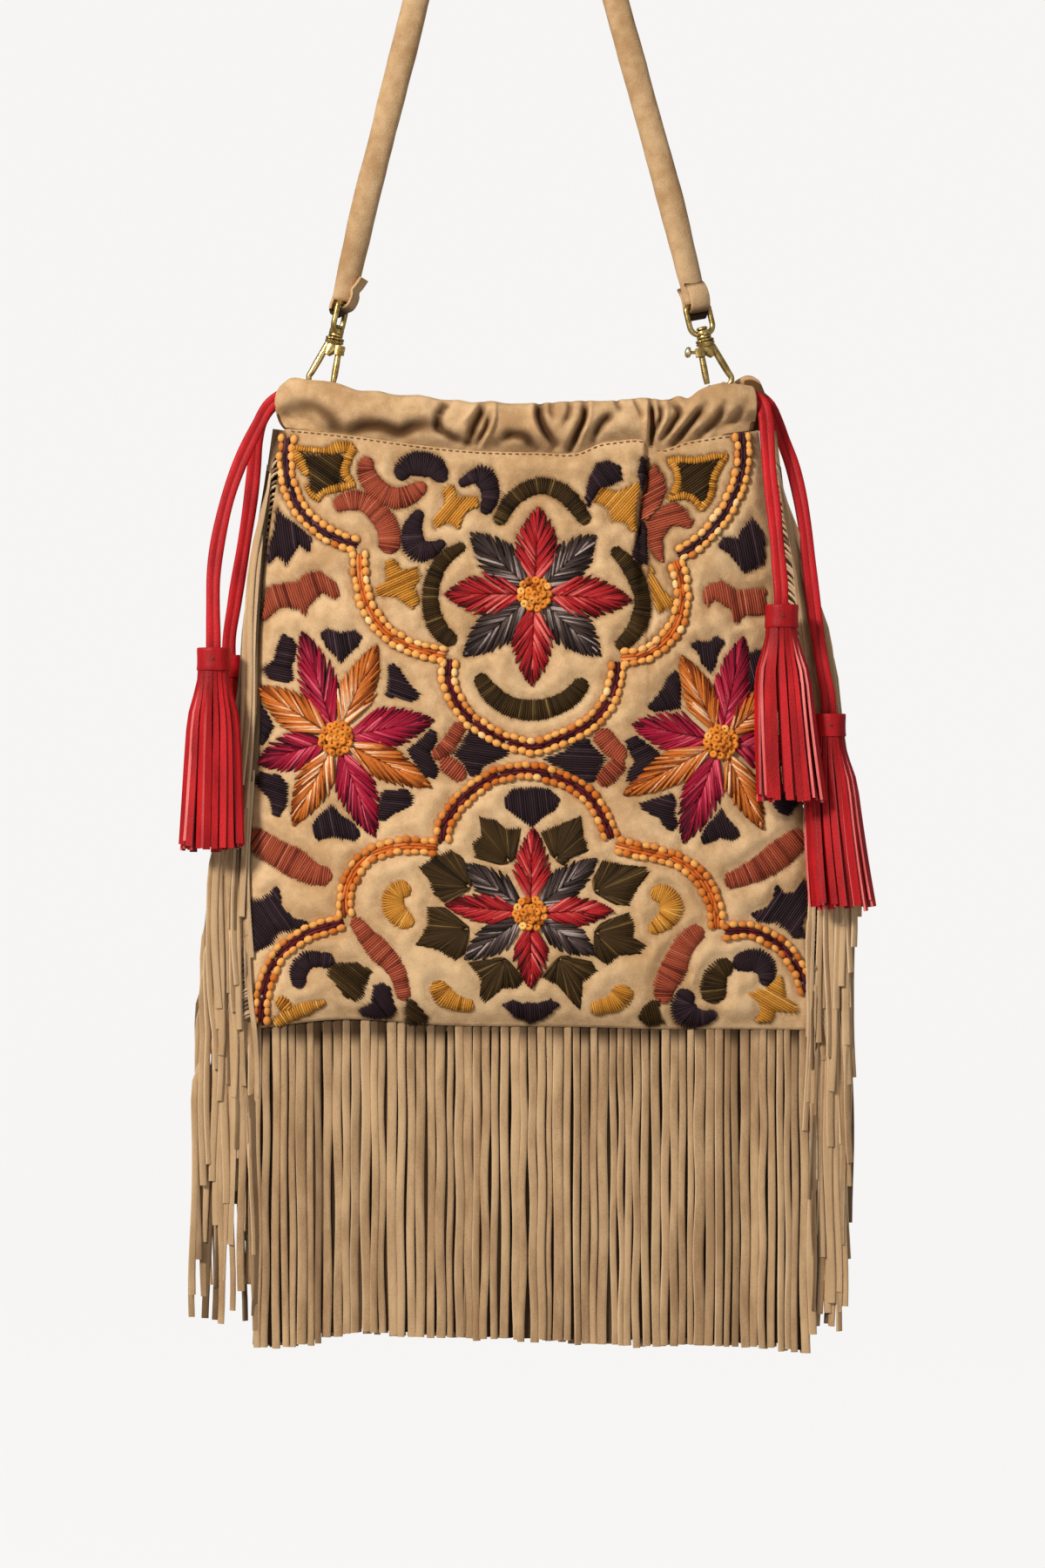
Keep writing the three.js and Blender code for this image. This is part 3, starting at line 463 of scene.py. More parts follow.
def sweep(points: Array, section: Array, guide: Sequence[float] | Array) -> Array:
    """Carries a section along lines of points.

    Args:
        points: Lines of points, with any number of leading axes.
        section: Corners across and along the guide, one section or one for each point.
        guide: Direction that the section's second axis keeps close to.

    Returns:
        Rings of points.
    """
    tangent = unit(np.gradient(points, axis=-2))
    guide = np.broadcast_to(np.asarray(guide, float), points.shape)
    deep = unit(guide - tangent * np.sum(guide * tangent, axis=-1, keepdims=True))
    wide = np.cross(tangent, deep)
    section = np.broadcast_to(section, points.shape[:-1] + section.shape[-2:])
    across = wide[..., None, :] * section[..., 0:1]
    return points[..., None, :] + across + deep[..., None, :] * section[..., 1:2]


def closed_sweep(points: Array, section: Array, guide: Sequence[float]) -> Array:
    """Carries a section round a closed line of points."""
    lapped = np.concatenate([points[-1:], points, points[:1]])
    return sweep(lapped, section, guide)[1:-1]


def lathe(profile: Sequence[tuple[float, float]], sides: int) -> Array:
    """Turns a profile round the Z axis.

    Args:
        profile: Radius and height of each point.
        sides: Points in each ring.

    Returns:
        Rings of points.
    """
    rows = np.asarray(profile, float)
    turn = 2 * np.pi * np.arange(sides) / sides
    ring = np.stack([np.cos(turn), np.sin(turn)], axis=1)
    flat = rows[:, None, 0:1] * ring[None]
    return np.concatenate([flat, np.broadcast_to(rows[:, None, 1:2], flat.shape[:2] + (1,))], axis=2)


def ripple(points: Array, size: float, seed: float) -> Array:
    """Gives smooth noise from about minus one to one, with features of a size in metres."""
    flat = points.reshape(-1, 3) / size + seed
    return np.array([noise.noise(Vector(row)) for row in flat]).reshape(points.shape[:-1])


@dataclass
class Draft:
    """Collects the points and faces of one mesh piece."""

    points: list[Array] = field(default_factory=list)
    quads: list[Array] = field(default_factory=list)
    tones: list[Array] = field(default_factory=list)
    slots: list[Array] = field(default_factory=list)
    count: int = 0

    def put(self, points: Array, quads: Array, tone: Array | float, slots: Array) -> None:
        """Adds points and faces.

        Args:
            points: Points, three numbers each.
            quads: Four point numbers for each face.
            tone: Shade of each point.
            slots: Material number of each face.
        """
        flat = points.reshape(-1, 3)
        self.points.append(flat)
        self.quads.append(quads.reshape(-1, 4) + self.count)
        self.tones.append(np.broadcast_to(tone, points.shape[:-1]).reshape(-1))
        self.slots.append(slots.reshape(-1))
        self.count += len(flat)

    def grid(self, points: Array, tone: Array | float = 0.0) -> None:
        """Adds a sheet of rows and columns of points.

        Args:
            points: Points by row and column.
            tone: Shade of each point.
        """
        index = np.arange(points.shape[0] * points.shape[1]).reshape(points.shape[:2])
        quads = np.stack([index[:-1, :-1], index[:-1, 1:], index[1:, 1:], index[1:, :-1]], axis=-1)
        self.put(points, quads, tone, np.zeros(quads.shape[:2], int))

    def tubes(
        self,
        rings: Array,
        tone: Array | float = 0.0,
        slots: Sequence[int] = (0,),
        cap_slot: int = 0,
        looped: bool = False,
    ) -> None:
        """Adds closed tubes with their faces outward.

        Args:
            rings: Rings of points: tube, ring, place round the ring, and the three coordinates.
            tone: Shade for all, for each tube, or for each ring.
            slots: Material number for each face round a ring.
            cap_slot: Material number of the end faces.
            looped: Joins the last ring to the first instead of closing the ends.
        """
        rings = rings[None] if rings.ndim == 3 else rings
        many, count, around = rings.shape[:3]
        index = np.arange(many * count * around).reshape(many, count, around)
        here = index if looped else index[:, :-1]
        after = np.roll(index, -1, axis=1) if looped else index[:, 1:]
        quads = np.stack([here, np.roll(here, -1, axis=2), np.roll(after, -1, axis=2), after], axis=-1)
        corner = rings.reshape(-1, 3)[quads]
        area = np.cross(corner[..., 2, :] - corner[..., 0, :], corner[..., 3, :] - corner[..., 1, :])
        middle = rings.mean(axis=(1, 2))[:, None, None]
        volume = np.sum((corner.mean(axis=-2) - middle) * area, axis=(1, 2, 3))
        faces = [quads.reshape(many, -1, 4)]
        marks = [np.broadcast_to(np.resize(slots, around), quads.shape[:3]).reshape(many, -1)]
        if not looped:
            for j in range(around // 2 - 1):
                far = around - 1 - j
                faces.append(index[:, 0][:, [j, far, far - 1, j + 1]][:, None])
                faces.append(index[:, -1][:, [j, j + 1, far - 1, far]][:, None])
                marks.append(np.full((many, 2), cap_slot))
        faces = np.concatenate(faces, axis=1)
        faces = np.where((volume < 0)[:, None, None], faces[..., ::-1], faces)
        tone = np.asarray(tone, float)
        tone = tone.reshape(tone.shape + (1,) * (3 - tone.ndim))
        self.put(rings, faces, tone, np.concatenate(marks, axis=1))

    def show(self, name: str, finishes: Sequence[Finish], sharp: float | None = None) -> bpy.types.Object:
        """Makes the mesh object.

        Args:
            name: Name of the object.
            finishes: Finish of each material number.
            sharp: Angle in degrees from which an edge stays sharp.

        Returns:
            The object.
        """
        quads = np.concatenate(self.quads)
        mesh = bpy.data.meshes.new(name)
        mesh.vertices.add(self.count)
        mesh.vertices.foreach_set("co", np.concatenate(self.points).ravel())
        mesh.loops.add(quads.size)
        mesh.loops.foreach_set("vertex_index", quads.ravel().astype(np.int32))
        mesh.polygons.add(len(quads))
        mesh.polygons.foreach_set("loop_start", np.arange(0, quads.size, 4, dtype=np.int32))
        for finish in finishes:
            mesh.materials.append(finish.material())
        mesh.polygons.foreach_set("material_index", np.concatenate(self.slots).astype(np.int32))
        mesh.polygons.foreach_set("use_smooth", np.ones(len(quads), bool))
        mesh.update(calc_edges=True)
        tone = mesh.attributes.new("tone", "FLOAT", "POINT")
        tone.data.foreach_set("value", np.concatenate(self.tones).astype(np.float32))
        if sharp is not None:
            mesh.set_sharp_from_angle(angle=math.radians(sharp))
        made = bpy.data.objects.new(name, mesh)
        bpy.context.scene.collection.objects.link(made)
        return made

    def piece(
        self,
        name: str,
        finishes: Sequence[Finish],
        slot: str,
        body: str = BODY,
        sharp: float | None = None,
    ) -> bpy.types.Object:
        """Makes the mesh object and lets it ride on a body.

        Args:
            name: Name of the piece.
            finishes: Finish of each material number.
            slot: Not used.
            body: Body that carries it.
            sharp: Angle in degrees from which an edge stays sharp.

        Returns:
            The piece.
        """
        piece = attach(self.show(name, finishes, sharp), body)
        LOG.info("%s: %d faces on %s", name, len(piece.data.polygons), body)
        return piece


POUCH_V = (0.0, 0.03, 0.1, 0.26, 0.41, 0.56, 0.68, 0.8, 0.91, 1.0)
EDGE_U = (-1, -0.7, -0.3, 0, 0.22, 0.45, 0.7, 1)


@dataclass(frozen=True)
class Wall:
    """The pouch's wall surface as the CAD has it, in metres."""

    left: Profile = Profile(
        POUCH_V, (-0.149, -0.15, -0.151, -0.1515, -0.1495, -0.1465, -0.145, -0.142, -0.136, -0.1315)
    )
    right: Profile = Profile(
        POUCH_V, (0.171, 0.171, 0.1705, 0.1695, 0.1645, 0.1585, 0.1535, 0.149, 0.144, 0.1405)
    )
    bow: Profile = Profile(POUCH_V, (0, 0.007, 0.014, 0.018, 0.018, 0.0175, 0.0165, 0.0155, 0.014, 0.013))
    bottom: Profile = Profile(
        EDGE_U, (-0.771, -0.7655, -0.769, -0.7695, -0.77, -0.771, -0.771, -0.7715)
    )
    top: Profile = Profile(
        (-1, -0.68, -0.45, -0.2, 0.08, 0.24, 0.33, 0.4, 0.525, 0.56, 0.7, 0.85, 1),
        (
            -0.427, -0.4325, -0.437, -0.4405, -0.4415, -0.4415, -0.4365, -0.435, -0.4355, -0.4385, -0.435,
            -0.4315, -0.428,
        ),
    )
    fold_x: Profile = Profile(
        (0.6, 0.66, 0.72, 0.8, 0.86, 0.93, 1), (0.0775, 0.077, 0.0735, 0.0715, 0.072, 0.0755, 0.077)
    )
    fold_depth: Profile = Profile((0.52, 0.6, 0.72, 0.86, 1), (0, 0.0006, 0.0035, 0.0055, 0.005))
    fold_lip: float = 1.6 * MM
    fold_fade: float = 13 * MM
    seam: float = 2.5 * MM
    thick: float = 1.4 * MM
    low_power: float = 3
    mouth_power: float = 8
    fullness: float = 0.8

    def spot(self, u: Array, v: Array) -> tuple[Array, Array]:
        """Gives x and z of places across and up the wall."""
        x = self.left(v) + (self.right(v) - self.left(v)) * (u + 1) / 2
        return x, self.bottom(u) + (self.top(u) - self.bottom(u)) * v

    def locate(self, x: Array, z: Array) -> tuple[Array, Array]:
        """Finds the places across and up the wall of points that are given by x and z.

        Args:
            x: Where along X, in metres.
            z: Where along Z, in metres.

        Returns:
            The place across, from -1 to 1, and the place up, from 0 to 1.
        """
        u = np.zeros_like(x)
        v = np.full_like(x, 0.5)
        for _ in range(5):
            v = np.clip((z - self.bottom(u)) / (self.top(u) - self.bottom(u)), 0, 1)
            u = np.clip(2 * (x - self.left(v)) / (self.right(v) - self.left(v)) - 1, -1, 1)
        return u, v

    def depth(self, u: Array, v: Array, side: Side) -> Array:
        """Measures the wall's outer face from the middle plane.

        Args:
            u: Place across.
            v: Place up.
            side: Front or back.

        Returns:
            Depth in metres.
        """
        power = self.low_power + (self.mouth_power - self.low_power) * ease(v, 0.6, 1)
        bow = np.maximum(1 - np.abs(u) ** power, 0) ** self.fullness
        depth = self.bow(v)
        if side is Side.FRONT:
            depth = depth - self.fold(u, v)
        return self.seam + bow * depth

    def fold(self, u: Array, v: Array) -> Array:
        """Measures how far the front steps back behind the edge of its fold.

        Args:
            u: Place across.
            v: Place up.

        Returns:
            Depth in metres.
        """
        offset = self.spot(u, v)[0] - self.fold_x(v)
        lip = np.exp(-((offset / self.fold_lip) ** 2))
        fade = np.exp(-np.maximum(offset, 0) / self.fold_fade)
        return self.fold_depth(v) * np.where(offset < 0, lip, fade)

    def front(self, x: Array, z: Array) -> Array:
        """Gives Y of the front wall's face under points."""
        return -self.depth(*self.locate(x, z), Side.FRONT)


WALL = Wall()
CHART_UNIT = 0.0005
CHART_LEFT = -0.295
CHART_TOP = -0.1805
PITCH = 2.7
TOWARDS_FRONT = (0, -1, 0)
TOWARDS_BACK = (0, 1, 0)


def pairs(flat: Sequence[float]) -> Array:
    """Groups a row of numbers into places on the stitch chart, right and down."""
    return np.reshape(np.asarray(flat, float), (-1, 2))


def charted(places: Array) -> tuple[Array, Array]:
    """Turns places on the stitch chart, right and down, into X and Z in metres."""
    return CHART_LEFT + places[..., 0] * CHART_UNIT, CHART_TOP - places[..., 1] * CHART_UNIT


def on_chart(x: Array, z: Array) -> Array:
    """Turns X and Z in metres into places on the stitch chart."""
    return np.stack([(x - CHART_LEFT) / CHART_UNIT, (CHART_TOP - z) / CHART_UNIT], axis=-1)


def beside(line: Array, gap: float) -> Array:
    """Moves a line on the chart sideways by a gap."""
    heading = unit(np.gradient(line, axis=0))
    return line + np.stack([-heading[:, 1], heading[:, 0]], axis=1) * gap


@dataclass
class Stitchwork:
    """All embroidery threads, by colour, with their ends on the chart."""

    threads: dict[Floss, list[tuple]] = field(default_factory=dict)
    rng: np.random.Generator = field(default_factory=lambda: np.random.default_rng(7))
    share: Array = field(default_factory=lambda: np.array([0, 0.1, 0.34, 0.66, 0.9, 1.0]))
    section: Array = field(default_factory=lambda: np.array([[1, 0], [0, 1], [-1, 0], [0, -0.7]]))
    shade_spread: float = 0.38
    sunk: float = 0.25 * MM
    tip_size: float = 0.6

    def lay(
        self,
        floss: Floss,
        start: Array,
        end: Array,
        crown: float = 1.5 * MM,
        radius: float = 0.8 * MM,
        fade: float = 0.0,
        lift: Array | float = 0.0,
    ) -> None:
        """Adds threads of one colour.

        Args:
            floss: The thread.
            start: Start of each thread on the chart.
            end: End of each thread on the chart.
            crown: How far a thread stands out at its middle, in metres.
            radius: Half width of a thread in metres.
            fade: How much darker a thread's end is than its start.
            lift: How much paler each thread is than the usual.
        """
        count = len(start)
        shade = self.rng.normal(0, self.shade_spread, count) + lift
        tone = np.clip(shade[:, None] + fade * (0.6 - self.share), -1, 1.1)
        swell = crown * self.rng.uniform(0.88, 1.12, count)
        size = radius * self.rng.uniform(0.9, 1.12, count)
        self.threads.setdefault(floss, []).append((start, end, swell, size, tone))

    def footprint(self) -> Array:
        """Samples every thread, for the leather between them.

        Returns:
            X and Z of the samples.
        """
        rows = []
        for batches in self.threads.values():
            for start, end, *_ in batches:
                line = start[:, None] + (end - start)[:, None] * np.linspace(0, 1, 9)[:, None]
                rows.append(np.stack(charted(line.reshape(-1, 2)), axis=1))
        return np.concatenate(rows)

    def rings(self, start: Array, end: Array, swell: Array, size: Array) -> Array:
        """Shapes threads over the wall.

        Args:
            start: Starts on the chart.
            end: Ends on the chart.
            swell: Crown of each thread.
            size: Half width of each thread.

        Returns:
            Rings of four points along each thread.
        """
        line = start[:, None] + (end - start)[:, None] * self.share[:, None]
        x, z = charted(line)
        arch = np.sin(np.pi * self.share) ** 0.55
        y = WALL.front(x, z) - (swell[:, None] * arch - self.sunk)
        full = self.tip_size + (1 - self.tip_size) * arch
        sections = self.section * (size[:, None] * full)[..., None, None]
        return sweep(np.stack([x, y, z], axis=-1), sections, TOWARDS_FRONT)

    def build(self) -> int:
        """Makes one piece for each thread colour.

        Returns:
            How many threads there are.
        """
        total = 0
        for floss, batches in self.threads.items():
            draft = Draft()
            for start, end, swell, size, tone in batches:
                draft.tubes(self.rings(start, end, swell, size), tone)
                total += len(start)
            draft.piece(f"embroidery_{floss.name.lower()}", [floss.value], "suede")
        return total


@dataclass(frozen=True)
class Band:
    """A satin-stitched band: threads across a bent spine."""

    floss: Floss
    spine: tuple[float, ...]
    widths: tuple[float, ...]
    fewest: int = 5
    tip: float = 0.8
    rounding: float = 0.3
    ragged: float = 0.45

    def sew(self, work: Stitchwork) -> None:
        """Lays threads across the spine, shorter at its rounded ends.

        Args:
            work: Stitchwork that takes them.
        """
        spine = pairs(self.spine)
        rough = smooth_line(spine, 40)
        reach = 0.4 * max(self.widths) * self.across(rough)
        longest = max(line_length(rough + edge * reach) for edge in (-1, 0, 1))
        count = max(int(longest / PITCH), self.fewest)
        line = smooth_line(spine, count)
        share = np.linspace(0, 1, count)
        width = Profile(tuple(np.linspace(0, 1, len(self.widths))), self.widths)(share)
        to_end = np.minimum(share, 1 - share) * line_length(rough) + self.tip
        width = width * np.sqrt(1 - (1 - np.clip(to_end / (self.rounding * width), 0, 1)) ** 2)
        across = self.across(line)
        half = across * width[:, None] / 2
        ragged = across * work.rng.normal(0, self.ragged, (2, count, 1))
        work.lay(self.floss, line - half + ragged[0], line + half + ragged[1])

    def across(self, line: Array) -> Array:
        """Finds the directions square to a line, evened out along it.

        Args:
            line: Points on the chart.

        Returns:
            A direction at each point.
        """
        heading = np.gradient(line, axis=0)
        for _ in range(max(len(line) // 12, 1)):
            heading[1:-1] = (heading[:-2] + 2 * heading[1:-1] + heading[2:]) / 4
        heading = unit(heading)
        return np.stack([-heading[:, 1], heading[:, 0]], axis=1)


@dataclass(frozen=True)
class Patch:
    """A filled motif: parallel threads, or threads fanned from a root, inside an outline on the chart."""

    floss: Floss
    outline: tuple[float, ...]
    slant: float = 0.0
    root: tuple[float, float] | None = None
    overlap: float = 0.2
    ragged: float = 0.55
    shortest: float = 1.5
    root_gap: float = 12
    root_pull: float = 0.88

    def sew(self, work: Stitchwork) -> None:
        """Lays the threads, each a little longer or shorter than the outline.

        Args:
            work: Stitchwork that takes them.
        """
        outline = pairs(self.outline)
        start, end = self.hatched(outline) if self.root is None else self.fanned(outline)
        grow = unit(end - start) * work.rng.normal(self.overlap, self.ragged, (len(start), 1))
        work.lay(self.floss, start - grow, end + grow)

    def fanned(self, outline: Array) -> tuple[Array, Array]:
        """Gives threads from near the root to points along the outline.

        Args:
            outline: Corners on the chart.

        Returns:
            Starts and ends of the threads.
        """
        sides = zip(outline, np.roll(outline, -1, axis=0))
        steps = [(a, b, max(int(np.linalg.norm(b - a) / PITCH), 1)) for a, b in sides]
        ends = np.concatenate([a + (b - a) * (np.arange(n) / n)[:, None] for a, b, n in steps])
        root = np.asarray(self.root, float)
        near = outline.mean(axis=0) * (1 - self.root_pull) + root * self.root_pull
        ends = ends[np.linalg.norm(ends - root, axis=1) > self.root_gap]
        return near + (ends - near) * 0.1, ends

    def hatched(self, outline: Array) -> tuple[Array, Array]:
        """Gives parallel threads cut off by the outline.

        Args:
            outline: Corners on the chart.

        Returns:
            Starts and ends of the threads.
        """
        turn = math.radians(self.slant)
        spin = np.array([[math.cos(turn), -math.sin(turn)], [math.sin(turn), math.cos(turn)]])
        flat = outline @ spin
        after = np.roll(flat, -1, axis=0)
        rows = []
        for level in np.arange(flat[:, 1].min() + PITCH / 2, flat[:, 1].max(), PITCH):
            crossed = (flat[:, 1] <= level) != (after[:, 1] <= level)
            near, far = flat[crossed], after[crossed]
            share = (level - near[:, 1]) / (far[:, 1] - near[:, 1])
            places = np.sort(near[:, 0] + share * (far[:, 0] - near[:, 0]))
            spans = zip(places[::2], places[1::2])
            rows += [(a, level, b, level) for a, b in spans if b - a > self.shortest]
        ends = np.array(rows)
        return ends[:, :2] @ spin.T, ends[:, 2:] @ spin.T


@dataclass(frozen=True)
class Flower:
    """Eight feathered petals round a centre of knots."""

    at: tuple[float, float]
    petals: tuple[tuple[Floss, float, float, float], ...]
    root: float = 12
    forward: float = 0.36
    step: float = 3.1
    midrib: float = 0.3
    thread: float = 0.9 * MM
    crown: float = 1.8 * MM
    raised_crown: float = 2.6 * MM
    raised: tuple[Floss, ...] = (Floss.RED, Floss.ORANGE)
    knot_rings: tuple[tuple[int, float], ...] = ((7, 8), (13, 16))
    knot_shift: float = 0.6
    dome: float = 4.2 * MM
    dome_fall: float = 1.8 * MM

    def sew(self, work: Stitchwork) -> None:
        """Sews every petal from its midrib outward, in toothed groups of three threads.

        Args:
            work: Stitchwork that takes them.
        """
        for floss, x, y, width in self.petals:
            centre = np.asarray(self.at)
            reach = np.array([x, y]) - centre
            length = float(np.linalg.norm(reach)) - self.root
            along = unit(reach)
            across = np.array([-along[1], along[0]])
            base = centre + along * self.root
            count = int(length / self.step)
            share = np.linspace(0, 0.95, count)
            tip = np.minimum(share + self.forward, 1)
            for side in (-1, 1):
                half = width / 2 * np.sin(np.pi * tip**0.8) ** 0.7
                toothed = 1 + 0.07 * (np.arange(count) % 3 - 1)
                half = half * (toothed + work.rng.normal(0, 0.05, count))
                start = base + along * (share * length)[:, None] + across * (side * self.midrib)
                end = base + along * (tip * length)[:, None] + across * (side * half)[:, None]
                crown = self.raised_crown if floss in self.raised else self.crown
                # Darker towards the tip, with one side of each petal painted darker as shade.
                lift = work.rng.normal(0.12, 0.35, count) - 0.85 * share - 0.15 * side
                work.lay(floss, start, end, crown, self.thread, 1.0, lift)

    def knots(self, draft: Draft, rng: np.random.Generator) -> None:
        """Adds the centre's coiled knots.

        Args:
            draft: Mesh that takes them.
            rng: Source of their small differences.
        """
        places = [(0.0, 0.0)]
        for count, radius in self.knot_rings:
            turns = 2 * np.pi * (np.arange(count) + rng.uniform(0, 1)) / count
            places += [(radius * math.cos(turn), radius * math.sin(turn)) for turn in turns]
        offsets = np.asarray(places) + rng.normal(0, self.knot_shift, (len(places), 2))
        x, z = charted(offsets + np.asarray(self.at))
        rim = self.knot_rings[-1][1]
        rise = self.dome - self.dome_fall * (np.linalg.norm(offsets, axis=1) / rim) ** 2
        turn = 2 * np.pi * np.arange(12) / 12
        cos, sin = np.cos(turn), np.sin(turn)
        for place in np.stack([x, WALL.front(x, z) - rise, z], axis=1):
            tilt = rng.normal(0, 0.35, 2)
            size = rng.uniform(1.15, 1.5) * MM
            coil = place + np.stack([cos, sin * tilt[0] + cos * tilt[1], sin], axis=1) * size
            rings = closed_sweep(coil, oval(6, 1.2 * MM, 1.1 * MM), TOWARDS_FRONT)
            draft.tubes(rings, float(rng.normal(0.1, 0.45)), looped=True)


@dataclass(frozen=True)
class Trellis:
    """A lobed border: two rows of bead stitches along a line of long stitches."""

    lobes: tuple[tuple[Floss, tuple[float, ...]], ...]
    shade: float = 0.1
    half: float = 6.7
    step: float = 9.7
    stitch: float = 15
    stitch_lane: float = 1.7
    stitch_crown: float = 1.4 * MM
    stitch_radius: float = 1.1 * MM
    bead_wide: float = 2.05 * MM
    bead_deep: float = 1.9 * MM
    bead_rise: float = 1.0 * MM
    bead_shift: float = 0.55

    def sew(self, work: Stitchwork, beads: Draft) -> None:
        """Sews every lobe.

        Args:
            work: Stitchwork that takes the long stitches.
            beads: Mesh that takes the bead stitches.
        """
        for floss, lobe in self.lobes:
            points = pairs(lobe)
            fine = smooth_line(points, 200)
            count = max(int(line_length(fine) / self.stitch), 2)
            for lane in (-self.stitch_lane, self.stitch_lane):
                lined = beside(smooth_line(points, 4 * count + 1), lane)
                shift = work.rng.integers(0, 3, count)
                first = np.clip(np.arange(count) * 4 + shift - 1, 0, 4 * count)
                last = np.clip(first + 5, 0, 4 * count)
                work.lay(floss, lined[first], lined[last], self.stitch_crown, self.stitch_radius)
            for lane in (-self.half, self.half):
                self.bead_row(fine, lane, beads, work)

    def bead_row(self, line: Array, lane: float, beads: Draft, work: Stitchwork) -> None:
        """Adds one row of bead stitches beside a line.

        Args:
            line: Middle line on the chart.
            lane: Distance beside it.
            beads: Mesh that takes the beads.
            work: Stitchwork whose random source they share.
        """
        row = beside(line, lane)
        count = max(int(line_length(row) / self.step), 2)
        ends = smooth_line(row, count + 1)
        middle = (ends[:-1] + ends[1:]) / 2 + work.rng.normal(0, self.bead_shift, (count, 2))
        reach = (ends[1:] - ends[:-1]) * 0.52
        swell = np.array([-1, -0.9, -0.55, 0, 0.55, 0.9, 1])
        x, z = charted(middle[:, None] + reach[:, None] * swell[:, None])
        y = WALL.front(x, z) - self.bead_rise
        full = np.sqrt(np.maximum(1 - swell**2, 0.03))
        size = work.rng.uniform(0.86, 1.16, count)
        sections = oval(10, self.bead_wide, self.bead_deep) * (size[:, None] * full)[..., None, None]
        rings = sweep(np.stack([x, y, z], axis=-1), sections, TOWARDS_FRONT)
        beads.tubes(rings, np.clip(work.rng.normal(self.shade, 0.4, count), -1, 1))


